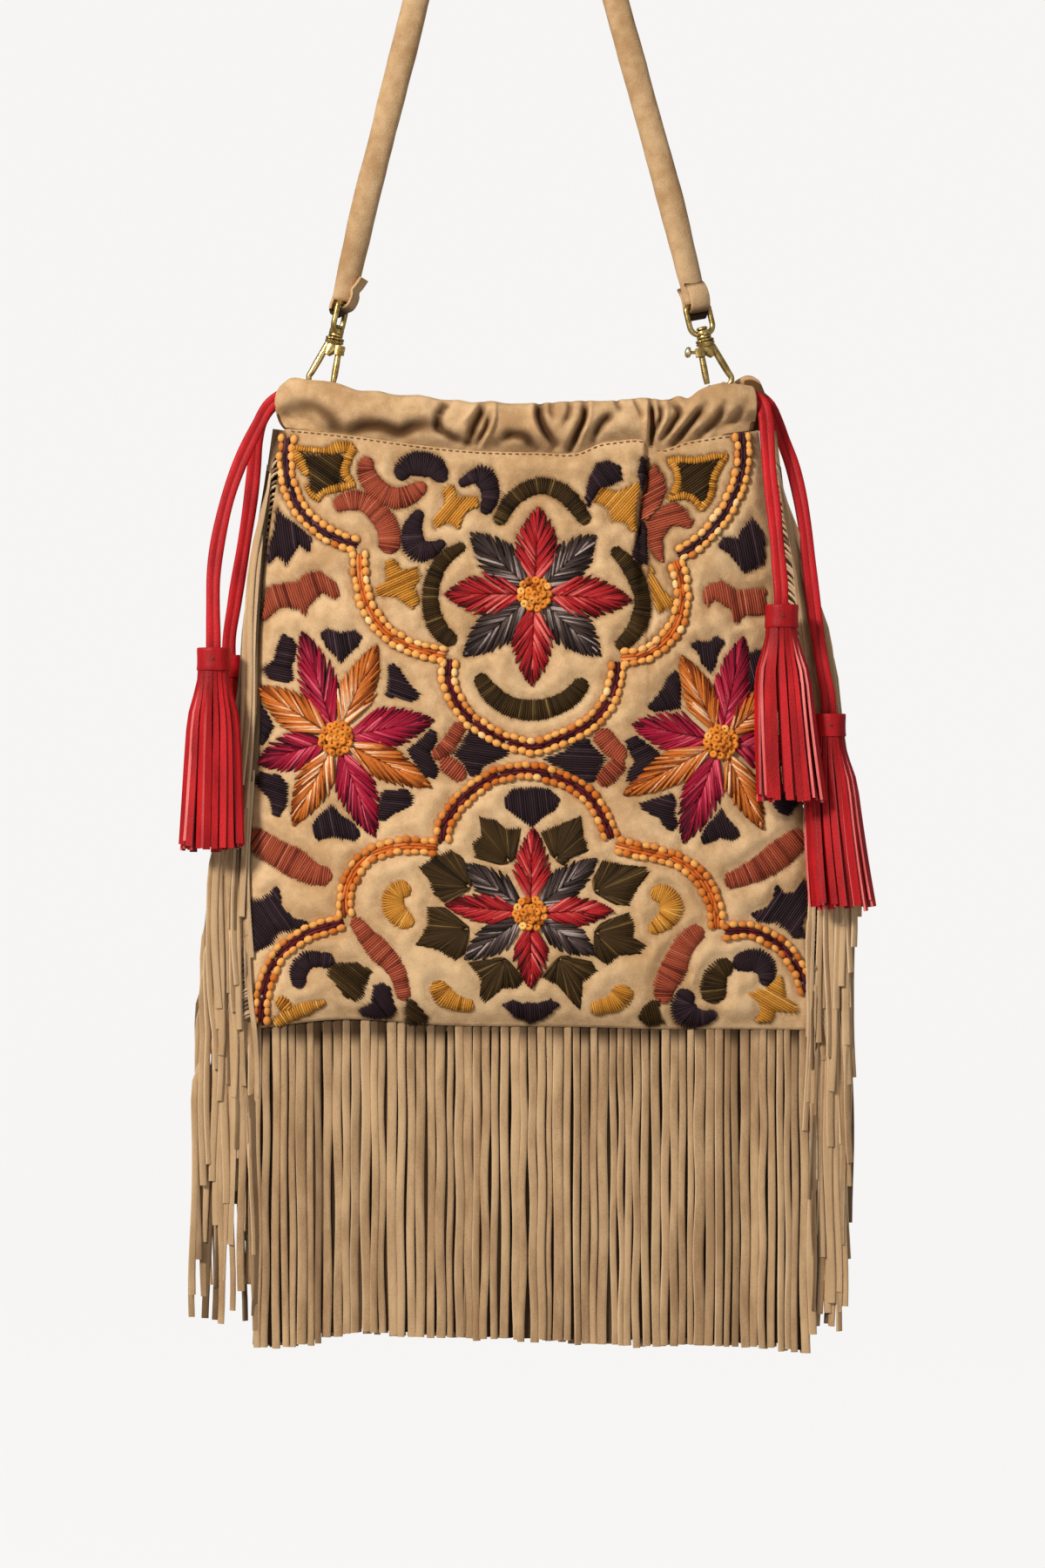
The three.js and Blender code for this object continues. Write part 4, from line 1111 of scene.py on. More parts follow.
AUBERGINE, RUST, MUSTARD, OLIVE = Floss.AUBERGINE, Floss.RUST, Floss.MUSTARD, Floss.OLIVE
RED, GREY, CRIMSON, ORANGE = Floss.RED, Floss.GREY, Floss.CRIMSON, Floss.ORANGE
PLUM, MAROON, COPPER = Floss.PLUM, Floss.MAROON, Floss.COPPER
BANDS = (
    Band(RUST, (
        424, 529, 421, 541, 428, 557, 441, 570, 458, 575, 475, 569, 488, 559,
    ), (15, 21, 23, 24, 24, 22, 13)),
    Band(RUST, (
        387, 585, 401, 577, 419, 578, 434, 590, 447, 608, 449, 623, 447, 636,
    ), (15, 23, 22, 23, 26, 26, 24)),
    Band(AUBERGINE, (460, 552, 467, 539, 482, 535, 499, 539, 510, 554), (14, 25, 29, 26, 14)),
    Band(AUBERGINE, (529, 558, 540, 552, 553, 548, 562, 560, 563, 575, 557, 591), (9, 15, 25, 22, 19, 12)),
    Band(AUBERGINE, (484, 590, 476, 604, 474, 620, 480, 634, 494, 634, 510, 625), (11, 20, 26, 27, 19, 8)),
    Band(OLIVE, (
        533, 629, 513, 641, 500, 661, 495, 683, 498, 709, 507, 727, 522, 739,
    ), (11, 17, 18, 19, 20, 21, 18)),
    Band(OLIVE, (
        572, 603, 583, 583, 600, 567, 620, 560, 642, 566, 661, 583, 673, 602,
    ), (15, 19, 19, 19, 20, 19, 15)),
    Band(OLIVE, (
        703, 633, 717, 646, 730, 667, 737, 692, 733, 715, 722, 733, 709, 745,
    ), (13, 18, 20, 19, 21, 20, 16)),
    Band(OLIVE, (
        550, 777, 562, 795, 582, 810, 608, 816, 640, 810, 660, 797, 670, 782,
    ), (15, 22, 23, 24, 23, 22, 18)),
    Band(RUST, (531, 832, 522, 846, 512, 860, 499, 869), (16, 18, 19, 13)),
    Band(RUST, (509, 873, 520, 882, 533, 892), (18, 21, 18)),
    Band(RUST, (687, 840, 698, 855, 715, 870), (23, 23, 19)),
    Band(RUST, (713, 874, 702, 886, 688, 899), (20, 22, 21)),
    Band(RUST, (287, 958, 304, 970, 323, 981, 343, 992, 362, 1003, 381, 1006), (24, 31, 32, 34, 27, 20)),
    Band(RUST, (832, 1012, 852, 1005, 871, 996, 889, 984, 906, 971, 923, 957), (18, 24, 29, 34, 31, 23)),
    Band(MUSTARD, (471, 1018, 455, 1024, 452, 1036, 459, 1050, 474, 1059), (17, 24, 26, 24, 14)),
    Band(MUSTARD, (748, 1022, 765, 1029, 770, 1043, 762, 1056, 746, 1067), (16, 24, 27, 21, 12)),
    Band(RUST, (408, 1054, 422, 1073, 438, 1091, 453, 1107, 461, 1126, 465, 1145), (13, 20, 27, 23, 19, 17)),
    Band(RUST, (804, 1066, 788, 1078, 778, 1096, 771, 1114, 762, 1130, 761, 1149), (19, 25, 27, 31, 26, 19)),
    Band(AUBERGINE, (345, 1132, 344, 1115, 354, 1101, 368, 1100, 383, 1102), (15, 21, 22, 18, 18)),
    Band(AUBERGINE, (842, 1106, 856, 1102, 870, 1102, 879, 1113, 877, 1129), (18, 25, 27, 23, 12)),
    Band(OLIVE, (838, 1106, 824, 1113, 818, 1127, 820, 1149), (20, 26, 31, 26)),
    Band(AUBERGINE, (791, 1137, 783, 1150, 788, 1164, 803, 1168, 821, 1163), (19, 28, 30, 19, 9)),
    Band(MUSTARD, (502, 1126, 508, 1140, 522, 1149, 543, 1154), (18, 24, 18, 13)),
    Band(MUSTARD, (679, 1157, 697, 1153, 711, 1146, 717, 1131), (16, 18, 25, 25)),
    Band(MUSTARD, (317, 1175, 332, 1165, 350, 1158, 373, 1150), (11, 16, 14, 6)),
    Band(MUSTARD, (319, 1147, 326, 1151, 332, 1157), (12, 16, 11)),
    Band(MUSTARD, (337, 515, 345, 530, 354, 546), (6, 12, 9)),
    Band(MUSTARD, (337, 515, 360, 519, 384, 519, 397, 515, 407, 517), (5, 6, 7, 15, 9)),
    Band(MUSTARD, (407, 516, 400, 532, 398, 548, 406, 557), (12, 10, 10, 9)),
    Band(MUSTARD, (408, 559, 388, 563, 372, 568, 366, 574), (7, 9, 9, 7)),
    Band(MUSTARD, (353, 560, 359, 569, 368, 576), (4, 6, 6)),
    Band(MUSTARD, (767, 532, 780, 531, 800, 531, 818, 527, 833, 525), (9, 8, 7, 7, 5)),
    Band(MUSTARD, (832, 527, 819, 549, 814, 573, 804, 586), (6, 8, 9, 8)),
    Band(MUSTARD, (769, 531, 777, 545, 776, 562, 769, 575), (9, 8, 9, 8)),
    Band(MUSTARD, (768, 575, 783, 571, 797, 576, 804, 587), (7, 8, 8, 7)),
)
PATCHES = (
    Patch(OLIVE, (
        346, 521, 367, 524, 388, 522, 397, 528, 393, 545, 398, 557, 384, 561, 370, 571, 356, 563, 357, 545,
        349, 535,
    ), 35),
    Patch(OLIVE, (779, 533, 800, 535, 825, 529, 815, 547, 812, 571, 804, 580, 797, 574, 780, 567), -35),
    Patch(MUSTARD, (
        509, 564, 521, 558, 526, 573, 549, 572, 550, 583, 535, 591, 527, 609, 515, 603, 498, 611, 499, 595,
        512, 582,
    ), -50),
    Patch(MUSTARD, (
        443, 649, 453, 643, 464, 657, 480, 651, 486, 664, 477, 677, 484, 692, 474, 701, 458, 688, 432, 686,
        429, 679, 445, 671,
    ), -24),
    Patch(MUSTARD, (
        680, 579, 691, 562, 708, 567, 733, 555, 735, 563, 729, 588, 730, 611, 722, 613, 718, 603, 701, 601,
        698, 588, 688, 580,
    ), -48),
    Patch(AUBERGINE, (
        318, 583, 333, 597, 347, 608, 359, 619, 357, 637, 345, 627, 331, 652, 320, 639, 307, 648, 310, 627,
        316, 610,
    ), 82),
    Patch(AUBERGINE, (
        862, 595, 873, 608, 877, 619, 878, 649, 854, 661, 845, 649, 836, 638, 822, 629, 829, 618, 845, 619,
        849, 610,
    ), 78),
    Patch(RUST, (
        301, 711, 307, 677, 317, 671, 341, 669, 354, 659, 369, 657, 386, 670, 392, 685, 386, 690, 373, 682,
        358, 695, 352, 709, 345, 701, 323, 698, 307, 712,
    ), 72),
    Patch(RUST, (
        805, 682, 812, 672, 827, 668, 846, 679, 862, 677, 878, 676, 878, 707, 853, 708, 847, 718, 840, 714,
        838, 701, 819, 690, 810, 699,
    ), 80),
    Patch(AUBERGINE, (
        671, 574, 676, 551, 684, 534, 697, 531, 711, 538, 714, 554, 701, 561, 688, 565, 682, 574, 675, 587,
    ), 55),
    Patch(AUBERGINE, (735, 527, 741, 530, 742, 546, 736, 568, 732, 545), 5),
    Patch(RUST, (751, 536, 761, 548, 765, 565, 758, 582, 743, 598, 735, 599, 735, 573, 742, 564, 743, 545), -28),
    Patch(RUST, (
        762, 582, 775, 579, 788, 588, 796, 604, 788, 608, 771, 605, 760, 620, 760, 648, 751, 641, 743, 627,
        740, 603,
    ), -15),
    Patch(AUBERGINE, (737, 600, 742, 610, 743, 649, 733, 648, 724, 641, 727, 629), 25),
    Patch(MUSTARD, (746, 652, 753, 666, 760, 680, 772, 690, 771, 699, 755, 706, 751, 697, 743, 668), 60),
    Patch(AUBERGINE, (
        326, 728, 338, 735, 343, 743, 337, 765, 339, 781, 332, 784, 310, 780, 302, 768, 317, 756, 319, 741,
    ), 12),
    Patch(AUBERGINE, (
        370, 728, 377, 722, 393, 727, 408, 724, 417, 732, 413, 743, 401, 754, 393, 764, 386, 754, 375, 743,
    ), 80),
    Patch(AUBERGINE, (452, 762, 460, 769, 473, 787, 485, 799, 478, 807, 444, 799, 447, 780, 446, 767), 20),
    Patch(AUBERGINE, (
        495, 837, 503, 843, 503, 852, 495, 865, 506, 884, 502, 894, 488, 891, 475, 873, 468, 861, 482, 851,
    ), 28),
    Patch(AUBERGINE, (
        438, 908, 468, 906, 477, 914, 475, 924, 464, 930, 453, 934, 445, 941, 434, 941, 436, 925,
    ), 5),
    Patch(AUBERGINE, (
        382, 923, 393, 935, 410, 946, 415, 959, 410, 965, 384, 961, 366, 965, 359, 950, 366, 937,
    ), 78),
    Patch(AUBERGINE, (
        293, 895, 299, 886, 323, 890, 333, 901, 331, 926, 321, 939, 314, 936, 310, 917, 295, 901,
    ), 18),
    Patch(AUBERGINE, (298, 807, 307, 817, 316, 834, 306, 852, 299, 857), 35),
    Patch(AUBERGINE, (
        790, 741, 800, 736, 812, 738, 821, 730, 830, 738, 823, 753, 820, 767, 814, 774, 805, 764, 800, 750,
    ), 82),
    Patch(AUBERGINE, (775, 771, 781, 787, 780, 815, 752, 818, 742, 813, 757, 794, 766, 776), 60),
    Patch(AUBERGINE, (
        717, 851, 729, 845, 741, 853, 758, 865, 745, 881, 729, 897, 717, 897, 720, 886, 727, 874, 720, 861,
    ), -25),
    Patch(AUBERGINE, (
        733, 921, 754, 915, 770, 911, 776, 921, 774, 935, 778, 946, 771, 954, 760, 948, 756, 938, 745, 934,
        735, 928,
    ), 15),
    Patch(AUBERGINE, (
        827, 926, 833, 938, 844, 950, 848, 959, 840, 966, 826, 962, 807, 969, 802, 961, 810, 947, 821, 934,
    ), 70),
    Patch(AUBERGINE, (859, 750, 868, 746, 880, 748, 884, 762, 876, 780, 870, 794, 860, 793, 857, 776), 75),
    Patch(AUBERGINE, (880, 905, 895, 899, 912, 906, 918, 920, 905, 938, 892, 932, 884, 920), 20),
    Patch(AUBERGINE, (
        540, 839, 553, 843, 564, 849, 573, 856, 587, 860, 584, 868, 570, 874, 556, 880, 551, 889, 540, 891,
        533, 878, 520, 865, 527, 858, 533, 847,
    ), 8),
    Patch(AUBERGINE, (
        622, 871, 646, 863, 662, 851, 676, 849, 681, 858, 696, 870, 692, 881, 681, 899, 667, 898, 653, 887,
        633, 878,
    ), 3),
    Patch(AUBERGINE, (
        578, 917, 588, 906, 608, 903, 630, 905, 642, 917, 637, 930, 622, 939, 611, 951, 598, 940, 581, 928,
    ), 84),
    Patch(AUBERGINE, (
        577, 1152, 588, 1146, 602, 1150, 618, 1150, 631, 1145, 642, 1152, 628, 1167, 610, 1174, 592, 1168,
    ), 86),
    Patch(AUBERGINE, (
        319, 1017, 323, 1025, 325, 1041, 339, 1053, 354, 1057, 354, 1067, 336, 1069, 321, 1072, 314, 1085,
        293, 1092, 289, 1061, 288, 1034, 302, 1030,
    ), 55),
    Patch(AUBERGINE, (
        890, 1015, 901, 1025, 913, 1023, 922, 1006, 927, 1017, 926, 1048, 920, 1062, 924, 1075, 910, 1077,
        901, 1067, 888, 1060, 869, 1058, 861, 1048, 878, 1041, 886, 1030,
    ), -55),
    Patch(MUSTARD, (
        855, 1140, 876, 1133, 895, 1119, 900, 1129, 902, 1145, 918, 1156, 916, 1163, 890, 1161, 885, 1173,
        867, 1172, 874, 1158, 868, 1147,
    ), 30),
    Patch(AUBERGINE, (
        429, 1130, 438, 1126, 449, 1132, 451, 1145, 457, 1158, 451, 1168, 432, 1170, 416, 1165, 413, 1158,
        427, 1150,
    ), 55),
    Patch(OLIVE, (
        381, 1102, 397, 1104, 410, 1103, 428, 1113, 423, 1128, 419, 1143, 410, 1149, 397, 1143, 384, 1126,
        376, 1119,
    ), 40),
    Patch(OLIVE, (467, 1145, 475, 1147, 493, 1167, 490, 1175, 468, 1175, 465, 1160), 35),
    Patch(OLIVE, (747, 1147, 758, 1145, 755, 1159, 762, 1174, 745, 1178, 733, 1168, 738, 1154), 75),
    Patch(OLIVE, (
        551, 937, 570, 941, 579, 950, 598, 950, 594, 968, 592, 983, 589, 995, 562, 988, 546, 983, 543, 968,
        553, 957,
    ), root=(587, 992)),
    Patch(OLIVE, (
        621, 954, 640, 947, 666, 936, 670, 959, 675, 975, 656, 983, 646, 994, 634, 990, 629, 970,
    ), root=(636, 988)),
    Patch(OLIVE, (
        482, 994, 501, 981, 518, 975, 531, 983, 534, 996, 547, 1020, 518, 1025, 512, 1036, 497, 1024, 494, 1011,
    ), root=(545, 1019)),
    Patch(OLIVE, (
        491, 1040, 510, 1040, 523, 1056, 545, 1061, 536, 1076, 533, 1094, 523, 1101, 501, 1088, 478, 1083,
        484, 1074, 492, 1058,
    ), root=(543, 1063)),
    Patch(OLIVE, (
        538, 1104, 557, 1104, 581, 1093, 588, 1108, 602, 1124, 594, 1133, 577, 1133, 557, 1150, 551, 1143,
        553, 1126, 549, 1117,
    ), root=(582, 1096)),
    Patch(OLIVE, (
        621, 1120, 635, 1108, 642, 1091, 658, 1099, 679, 1103, 685, 1113, 669, 1127, 666, 1158, 658, 1150,
        642, 1131,
    ), root=(640, 1094)),
    Patch(OLIVE, (
        676, 1026, 681, 1007, 692, 986, 711, 991, 741, 995, 745, 1000, 731, 1019, 722, 1038, 708, 1037, 701, 1026,
    ), root=(678, 1024)),
    Patch(OLIVE, (
        676, 1067, 697, 1055, 722, 1046, 728, 1062, 728, 1076, 742, 1085, 736, 1093, 713, 1095, 697, 1106,
        683, 1097, 694, 1085,
    ), root=(678, 1068)),
)
FLOWERS = (
    Flower((614, 684), (
        (GREY, 683, 617, 46), (GREY, 689, 754, 46), (GREY, 533, 754, 44), (GREY, 541, 614, 44),
        (RED, 618, 585, 50), (RED, 724, 691, 48), (RED, 610, 788, 46), (RED, 511, 684, 46),
    )),
    Flower((388, 848), (
        (ORANGE, 434, 742, 40), (ORANGE, 496, 903, 38), (ORANGE, 338, 947, 40), (ORANGE, 295, 789, 42),
        (CRIMSON, 348, 726, 42), (CRIMSON, 499, 827, 46), (CRIMSON, 432, 960, 45), (CRIMSON, 296, 876, 46),
    )),
    Flower((826, 852), (
        (ORANGE, 781, 754, 36), (ORANGE, 715, 912, 38), (ORANGE, 874, 951, 36), (ORANGE, 898, 788, 38),
        (CRIMSON, 852, 732, 42), (CRIMSON, 725, 832, 45), (CRIMSON, 783, 967, 44), (CRIMSON, 914, 868, 44),
    )),
    Flower((609, 1047), (
        (GREY, 532, 991, 36), (GREY, 534, 1099, 36), (GREY, 684, 985, 36), (GREY, 683, 1094, 36),
        (RED, 612, 950, 39), (RED, 512, 1037, 33), (RED, 610, 1133, 38), (RED, 703, 1044, 33),
    )),
)
TRELLISES = (
    Trellis((
        (PLUM, (331, 500, 329, 530, 334, 562, 350, 592, 374, 613, 412, 629)),
        (COPPER, (414, 634, 417, 675, 428, 707, 449, 731, 481, 747, 513, 754)),
        (MAROON, (
            517, 758, 515, 777, 524, 805, 550, 834, 582, 851, 612, 858, 640, 850, 672, 834, 697, 808, 707, 777,
            708, 761,
        )),
        (COPPER, (712, 757, 728, 756, 756, 742, 776, 717, 782, 689, 779, 661, 774, 646)),
        (PLUM, (777, 639, 798, 627, 821, 604, 841, 571, 852, 534, 850, 498)),
    )),
    Trellis((
        (MAROON, (300, 1176, 303, 1140, 317, 1102, 349, 1073, 396, 1057)),
        (COPPER, (399, 1052, 397, 1035, 403, 1009, 422, 984, 457, 971, 503, 972)),
        (MAROON, (
            508, 968, 508, 955, 521, 930, 547, 904, 578, 888, 611, 885, 643, 894, 672, 910, 691, 936, 701, 962,
        )),
        (COPPER, (706, 969, 738, 977, 777, 987, 802, 1006, 818, 1035, 822, 1065)),
        (MAROON, (827, 1069, 856, 1067, 892, 1082, 914, 1108, 927, 1140)),
    ), shade=-0.45),
)


@dataclass
class Embroidery:
    """The stitched front: motifs, flowers, trellises and knots."""

    work: Stitchwork = field(default_factory=Stitchwork)
    beads: Draft = field(default_factory=Draft)
    knots: Draft = field(default_factory=Draft)

    def sew(self) -> Array:
        """Lays out every motif.

        Returns:
            X and Z of places that the stitches press down.
        """
        for motif in (*BANDS, *PATCHES, *FLOWERS):
            motif.sew(self.work)
        for trellis in TRELLISES:
            trellis.sew(self.work, self.beads)
        for flower in FLOWERS:
            flower.knots(self.knots, self.work.rng)
        return np.concatenate([np.concatenate(self.beads.points)[:, [0, 2]], self.work.footprint()])

    def build(self) -> None:
        """Makes the pieces."""
        count = self.work.build()
        self.beads.piece("embroidery_beads", [Floss.BEAD.value], "suede")
        self.knots.piece("embroidery_knots", [Floss.KNOT.value], "suede")
        LOG.info("embroidery: %d threads", count)


@dataclass
class Panel:
    """One leather wall of the pouch, quilted by the stitches that press it."""

    name: str
    side: Side
    columns: int
    rows: int
    pressed: Array | None = None
    crowding: float = 1.35
    fold_columns: tuple[float, float, int] = (0.44, 0.58, 36)
    puff: float = 2.9 * MM
    puff_reach: float = 4.6 * MM
    wave: float = 1.5 * MM
    wave_size: float = 34 * MM
    dimple: float = 0.7 * MM
    dimple_size: float = 12 * MM
    thread_half: float = 0.8 * MM
    shadow_reach: float = 1.3 * MM
    fold_shade: float = 90
    inner_tone: float = -0.3
    unsewn: float = 50 * MM

    def build(self) -> None:
        """Makes the wall with its thickness."""
        even = np.sin(np.linspace(-self.crowding, self.crowding, self.columns)) / math.sin(self.crowding)
        near_fold = np.linspace(*self.fold_columns) if self.side is Side.FRONT else np.array([])
        u, v = np.meshgrid(np.unique(np.concatenate([even, near_fold])), np.linspace(0, 1, self.rows))
        x, z = WALL.spot(u, v)
        depth = WALL.depth(u, v, self.side)
        flat = np.stack([x, depth, z], axis=-1)
        inward = 1 - np.abs(u)
        edge = ease(inward, 0, 0.06) * ease(v, 0, 0.04) * ease(1 - v, 0, 0.03)
        away = self.distance(x, z)
        press = np.exp(-((away / self.puff_reach) ** 1.25))
        rise = self.puff + self.wave * ripple(flat, self.wave_size, 3.1)
        rise = rise + self.dimple * ripple(flat, self.dimple_size, 8.7)
        depth = depth + rise * edge * (1 - press)
        # Painted shade: darker within shadow_reach of each stitch, along the bottom seam and the side edges, behind
        # the fold's edge and on the inner face; the tone also grows lighter towards the bottom.
        tone = 0.15 + 0.3 * (1 - v) - 0.75 * np.exp(-away / self.shadow_reach)
        tone = tone - 0.5 * (1 - ease(v, 0, 0.05)) - 0.35 * (1 - ease(inward, 0, 0.05))
        if self.side is Side.FRONT:
            tone = tone - self.fold_shade * WALL.fold(u, v)
        outer = np.stack([x, self.side.value * depth, z], axis=-1)
        inner = np.stack([x, self.side.value * (depth - WALL.thick), z], axis=-1)
        loops = np.concatenate([outer, inner[::-1]], axis=0).transpose(1, 0, 2)
        shades = np.concatenate([tone, np.full_like(tone, self.inner_tone)], axis=0).transpose(1, 0)
        draft = Draft()
        draft.tubes(loops, shades[None])
        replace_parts(draft.piece(self.name, [SUEDE], "suede"), self.name.removesuffix("_leather"))

    def distance(self, x: Array, z: Array) -> Array:
        """Measures how far points lie from the nearest stitch.

        Args:
            x: Where along X.
            z: Where along Z.

        Returns:
            Distances in metres.
        """
        if self.pressed is None:
            return np.full_like(x, self.unsewn)
        tree = kdtree.KDTree(len(self.pressed))
        for i, (px, pz) in enumerate(self.pressed):
            tree.insert((px, 0, pz), i)
        tree.balance()
        found = [tree.find((px, 0, pz))[2] for px, pz in zip(x.ravel(), z.ravel())]
        return np.maximum(np.array(found).reshape(x.shape) - self.thread_half, 0)


@dataclass(frozen=True)
class Crease:
    """A valley in the gathered leather along a line on the chart; a negative depth makes a ridge."""

    depth: float
    width: float
    line: tuple[float, ...]
    samples: int = 64

    def dent(self, places: Array) -> Array:
        """Measures how far the crease pushes the leather in.

        Args:
            places: Places on the chart.

        Returns:
            Depths in metres.
        """
        points = smooth_line(pairs(self.line), self.samples)
        gaps = np.linalg.norm(places[..., None, :] - points, axis=-1)
        share = np.argmin(gaps, axis=-1) / (self.samples - 1)
        fade = 0.3 + 0.7 * ease(share, 0, 0.3) * (1 - 0.6 * ease(share, 0.75, 1))
        return self.depth * MM * fade * np.exp(-((gaps.min(axis=-1) / self.width) ** 2))


FRONT_CREASES = (
    Crease(3.3, 8, (330, 486, 333, 471, 349, 469, 367, 473, 380, 482, 388, 496)),
    Crease(4.2, 8, (388, 492, 402, 497, 420, 493, 440, 493, 462, 499, 478, 493, 500, 493)),
    Crease(3.6, 5, (503, 479, 507, 496, 520, 505, 535, 511)),
    Crease(3.2, 5, (517, 464, 510, 472, 506, 482)),
    Crease(4.2, 5, (555, 464, 553, 477, 545, 495, 540, 511)),
    Crease(-1.6, 3, (551, 464, 543, 476, 533, 489)),
    Crease(3.4, 3.5, (563, 478, 559, 494, 549, 512)),
    Crease(-2.2, 2.5, (569, 462, 567, 489, 555, 514)),
    Crease(4.0, 6, (573, 512, 588, 503, 602, 505, 616, 517)),
    Crease(5.2, 5, (621, 460, 619, 480, 625, 496, 638, 513)),
    Crease(-1.6, 4, (614, 462, 612, 482, 617, 498, 630, 514)),
    Crease(2.0, 3.5, (635, 462, 633, 474, 636, 484)),
    Crease(2.4, 3.5, (655, 462, 654, 476, 648, 490)),
    Crease(5.0, 4.5, (672, 462, 671, 483, 663, 501, 654, 518)),
    Crease(-2.0, 2.8, (678, 464, 675, 485, 666, 511)),
    Crease(3.8, 5, (706, 477, 690, 490, 680, 508)),
    Crease(2.4, 3, (706, 460, 712, 474)),
    Crease(2.2, 2.4, (727, 459, 737, 482)),
    Crease(-1.4, 2.6, (742, 462, 741, 490, 741, 513)),
    Crease(5.4, 3, (747, 462, 748, 486, 747, 514)),
    Crease(3.8, 3.6, (757, 463, 758, 483, 750, 499)),
    Crease(-1.6, 3, (763, 464, 763, 482, 756, 500)),
    Crease(4.2, 4, (769, 462, 779, 477, 771, 491, 759, 507)),
    Crease(4.6, 4.5, (811, 468, 797, 483, 785, 497, 773, 511)),
    Crease(-1.4, 4, (800, 463, 788, 480, 774, 498)),
    Crease(3.8, 5, (833, 468, 820, 487, 803, 502)),
    Crease(2.6, 5, (857, 466, 843, 484, 830, 498)),
)
BACK_CREASES = tuple(
    Crease(2.6 + math.sin(1.7 * i), 5, (
        350 + 34 * i, 462, 352 + 33 * i, 478, 352 + 34 * i + 6 * math.sin(2.1 * i), 500,
    ))
    for i in range(15)
)
FRONT_TOP = Profile(
    (
        -0.137, -0.132, -0.1145, -0.101, -0.089, -0.0785, -0.0685, -0.053, -0.043, -0.0325, -0.0225, -0.0145,
        -0.002, 0.0155, 0.0285, 0.039, 0.051, 0.0655, 0.0725, 0.0795, 0.087, 0.095, 0.099, 0.106, 0.11, 0.1275,
        0.139,
    ),
    (
        -0.4005, -0.3985, -0.4, -0.4017, -0.4058, -0.4063, -0.4083, -0.4089, -0.4109, -0.4114, -0.4131, -0.4122,
        -0.4137, -0.413, -0.4126, -0.4119, -0.4124, -0.4109, -0.4102, -0.4106, -0.4114, -0.4093, -0.4104,
        -0.4058, -0.4037, -0.4017, -0.4027,
    ),
)
BACK_TOP = Profile(
    (-0.137, -0.131, -0.095, -0.035, 0.005, 0.065, 0.105, 0.121, 0.128, 0.135, 0.14, 0.1435, 0.1455),
    (-0.403, -0.4005, -0.405, -0.413, -0.415, -0.413, -0.41, -0.402, -0.398, -0.3952, -0.3965, -0.3995, -0.404),
)


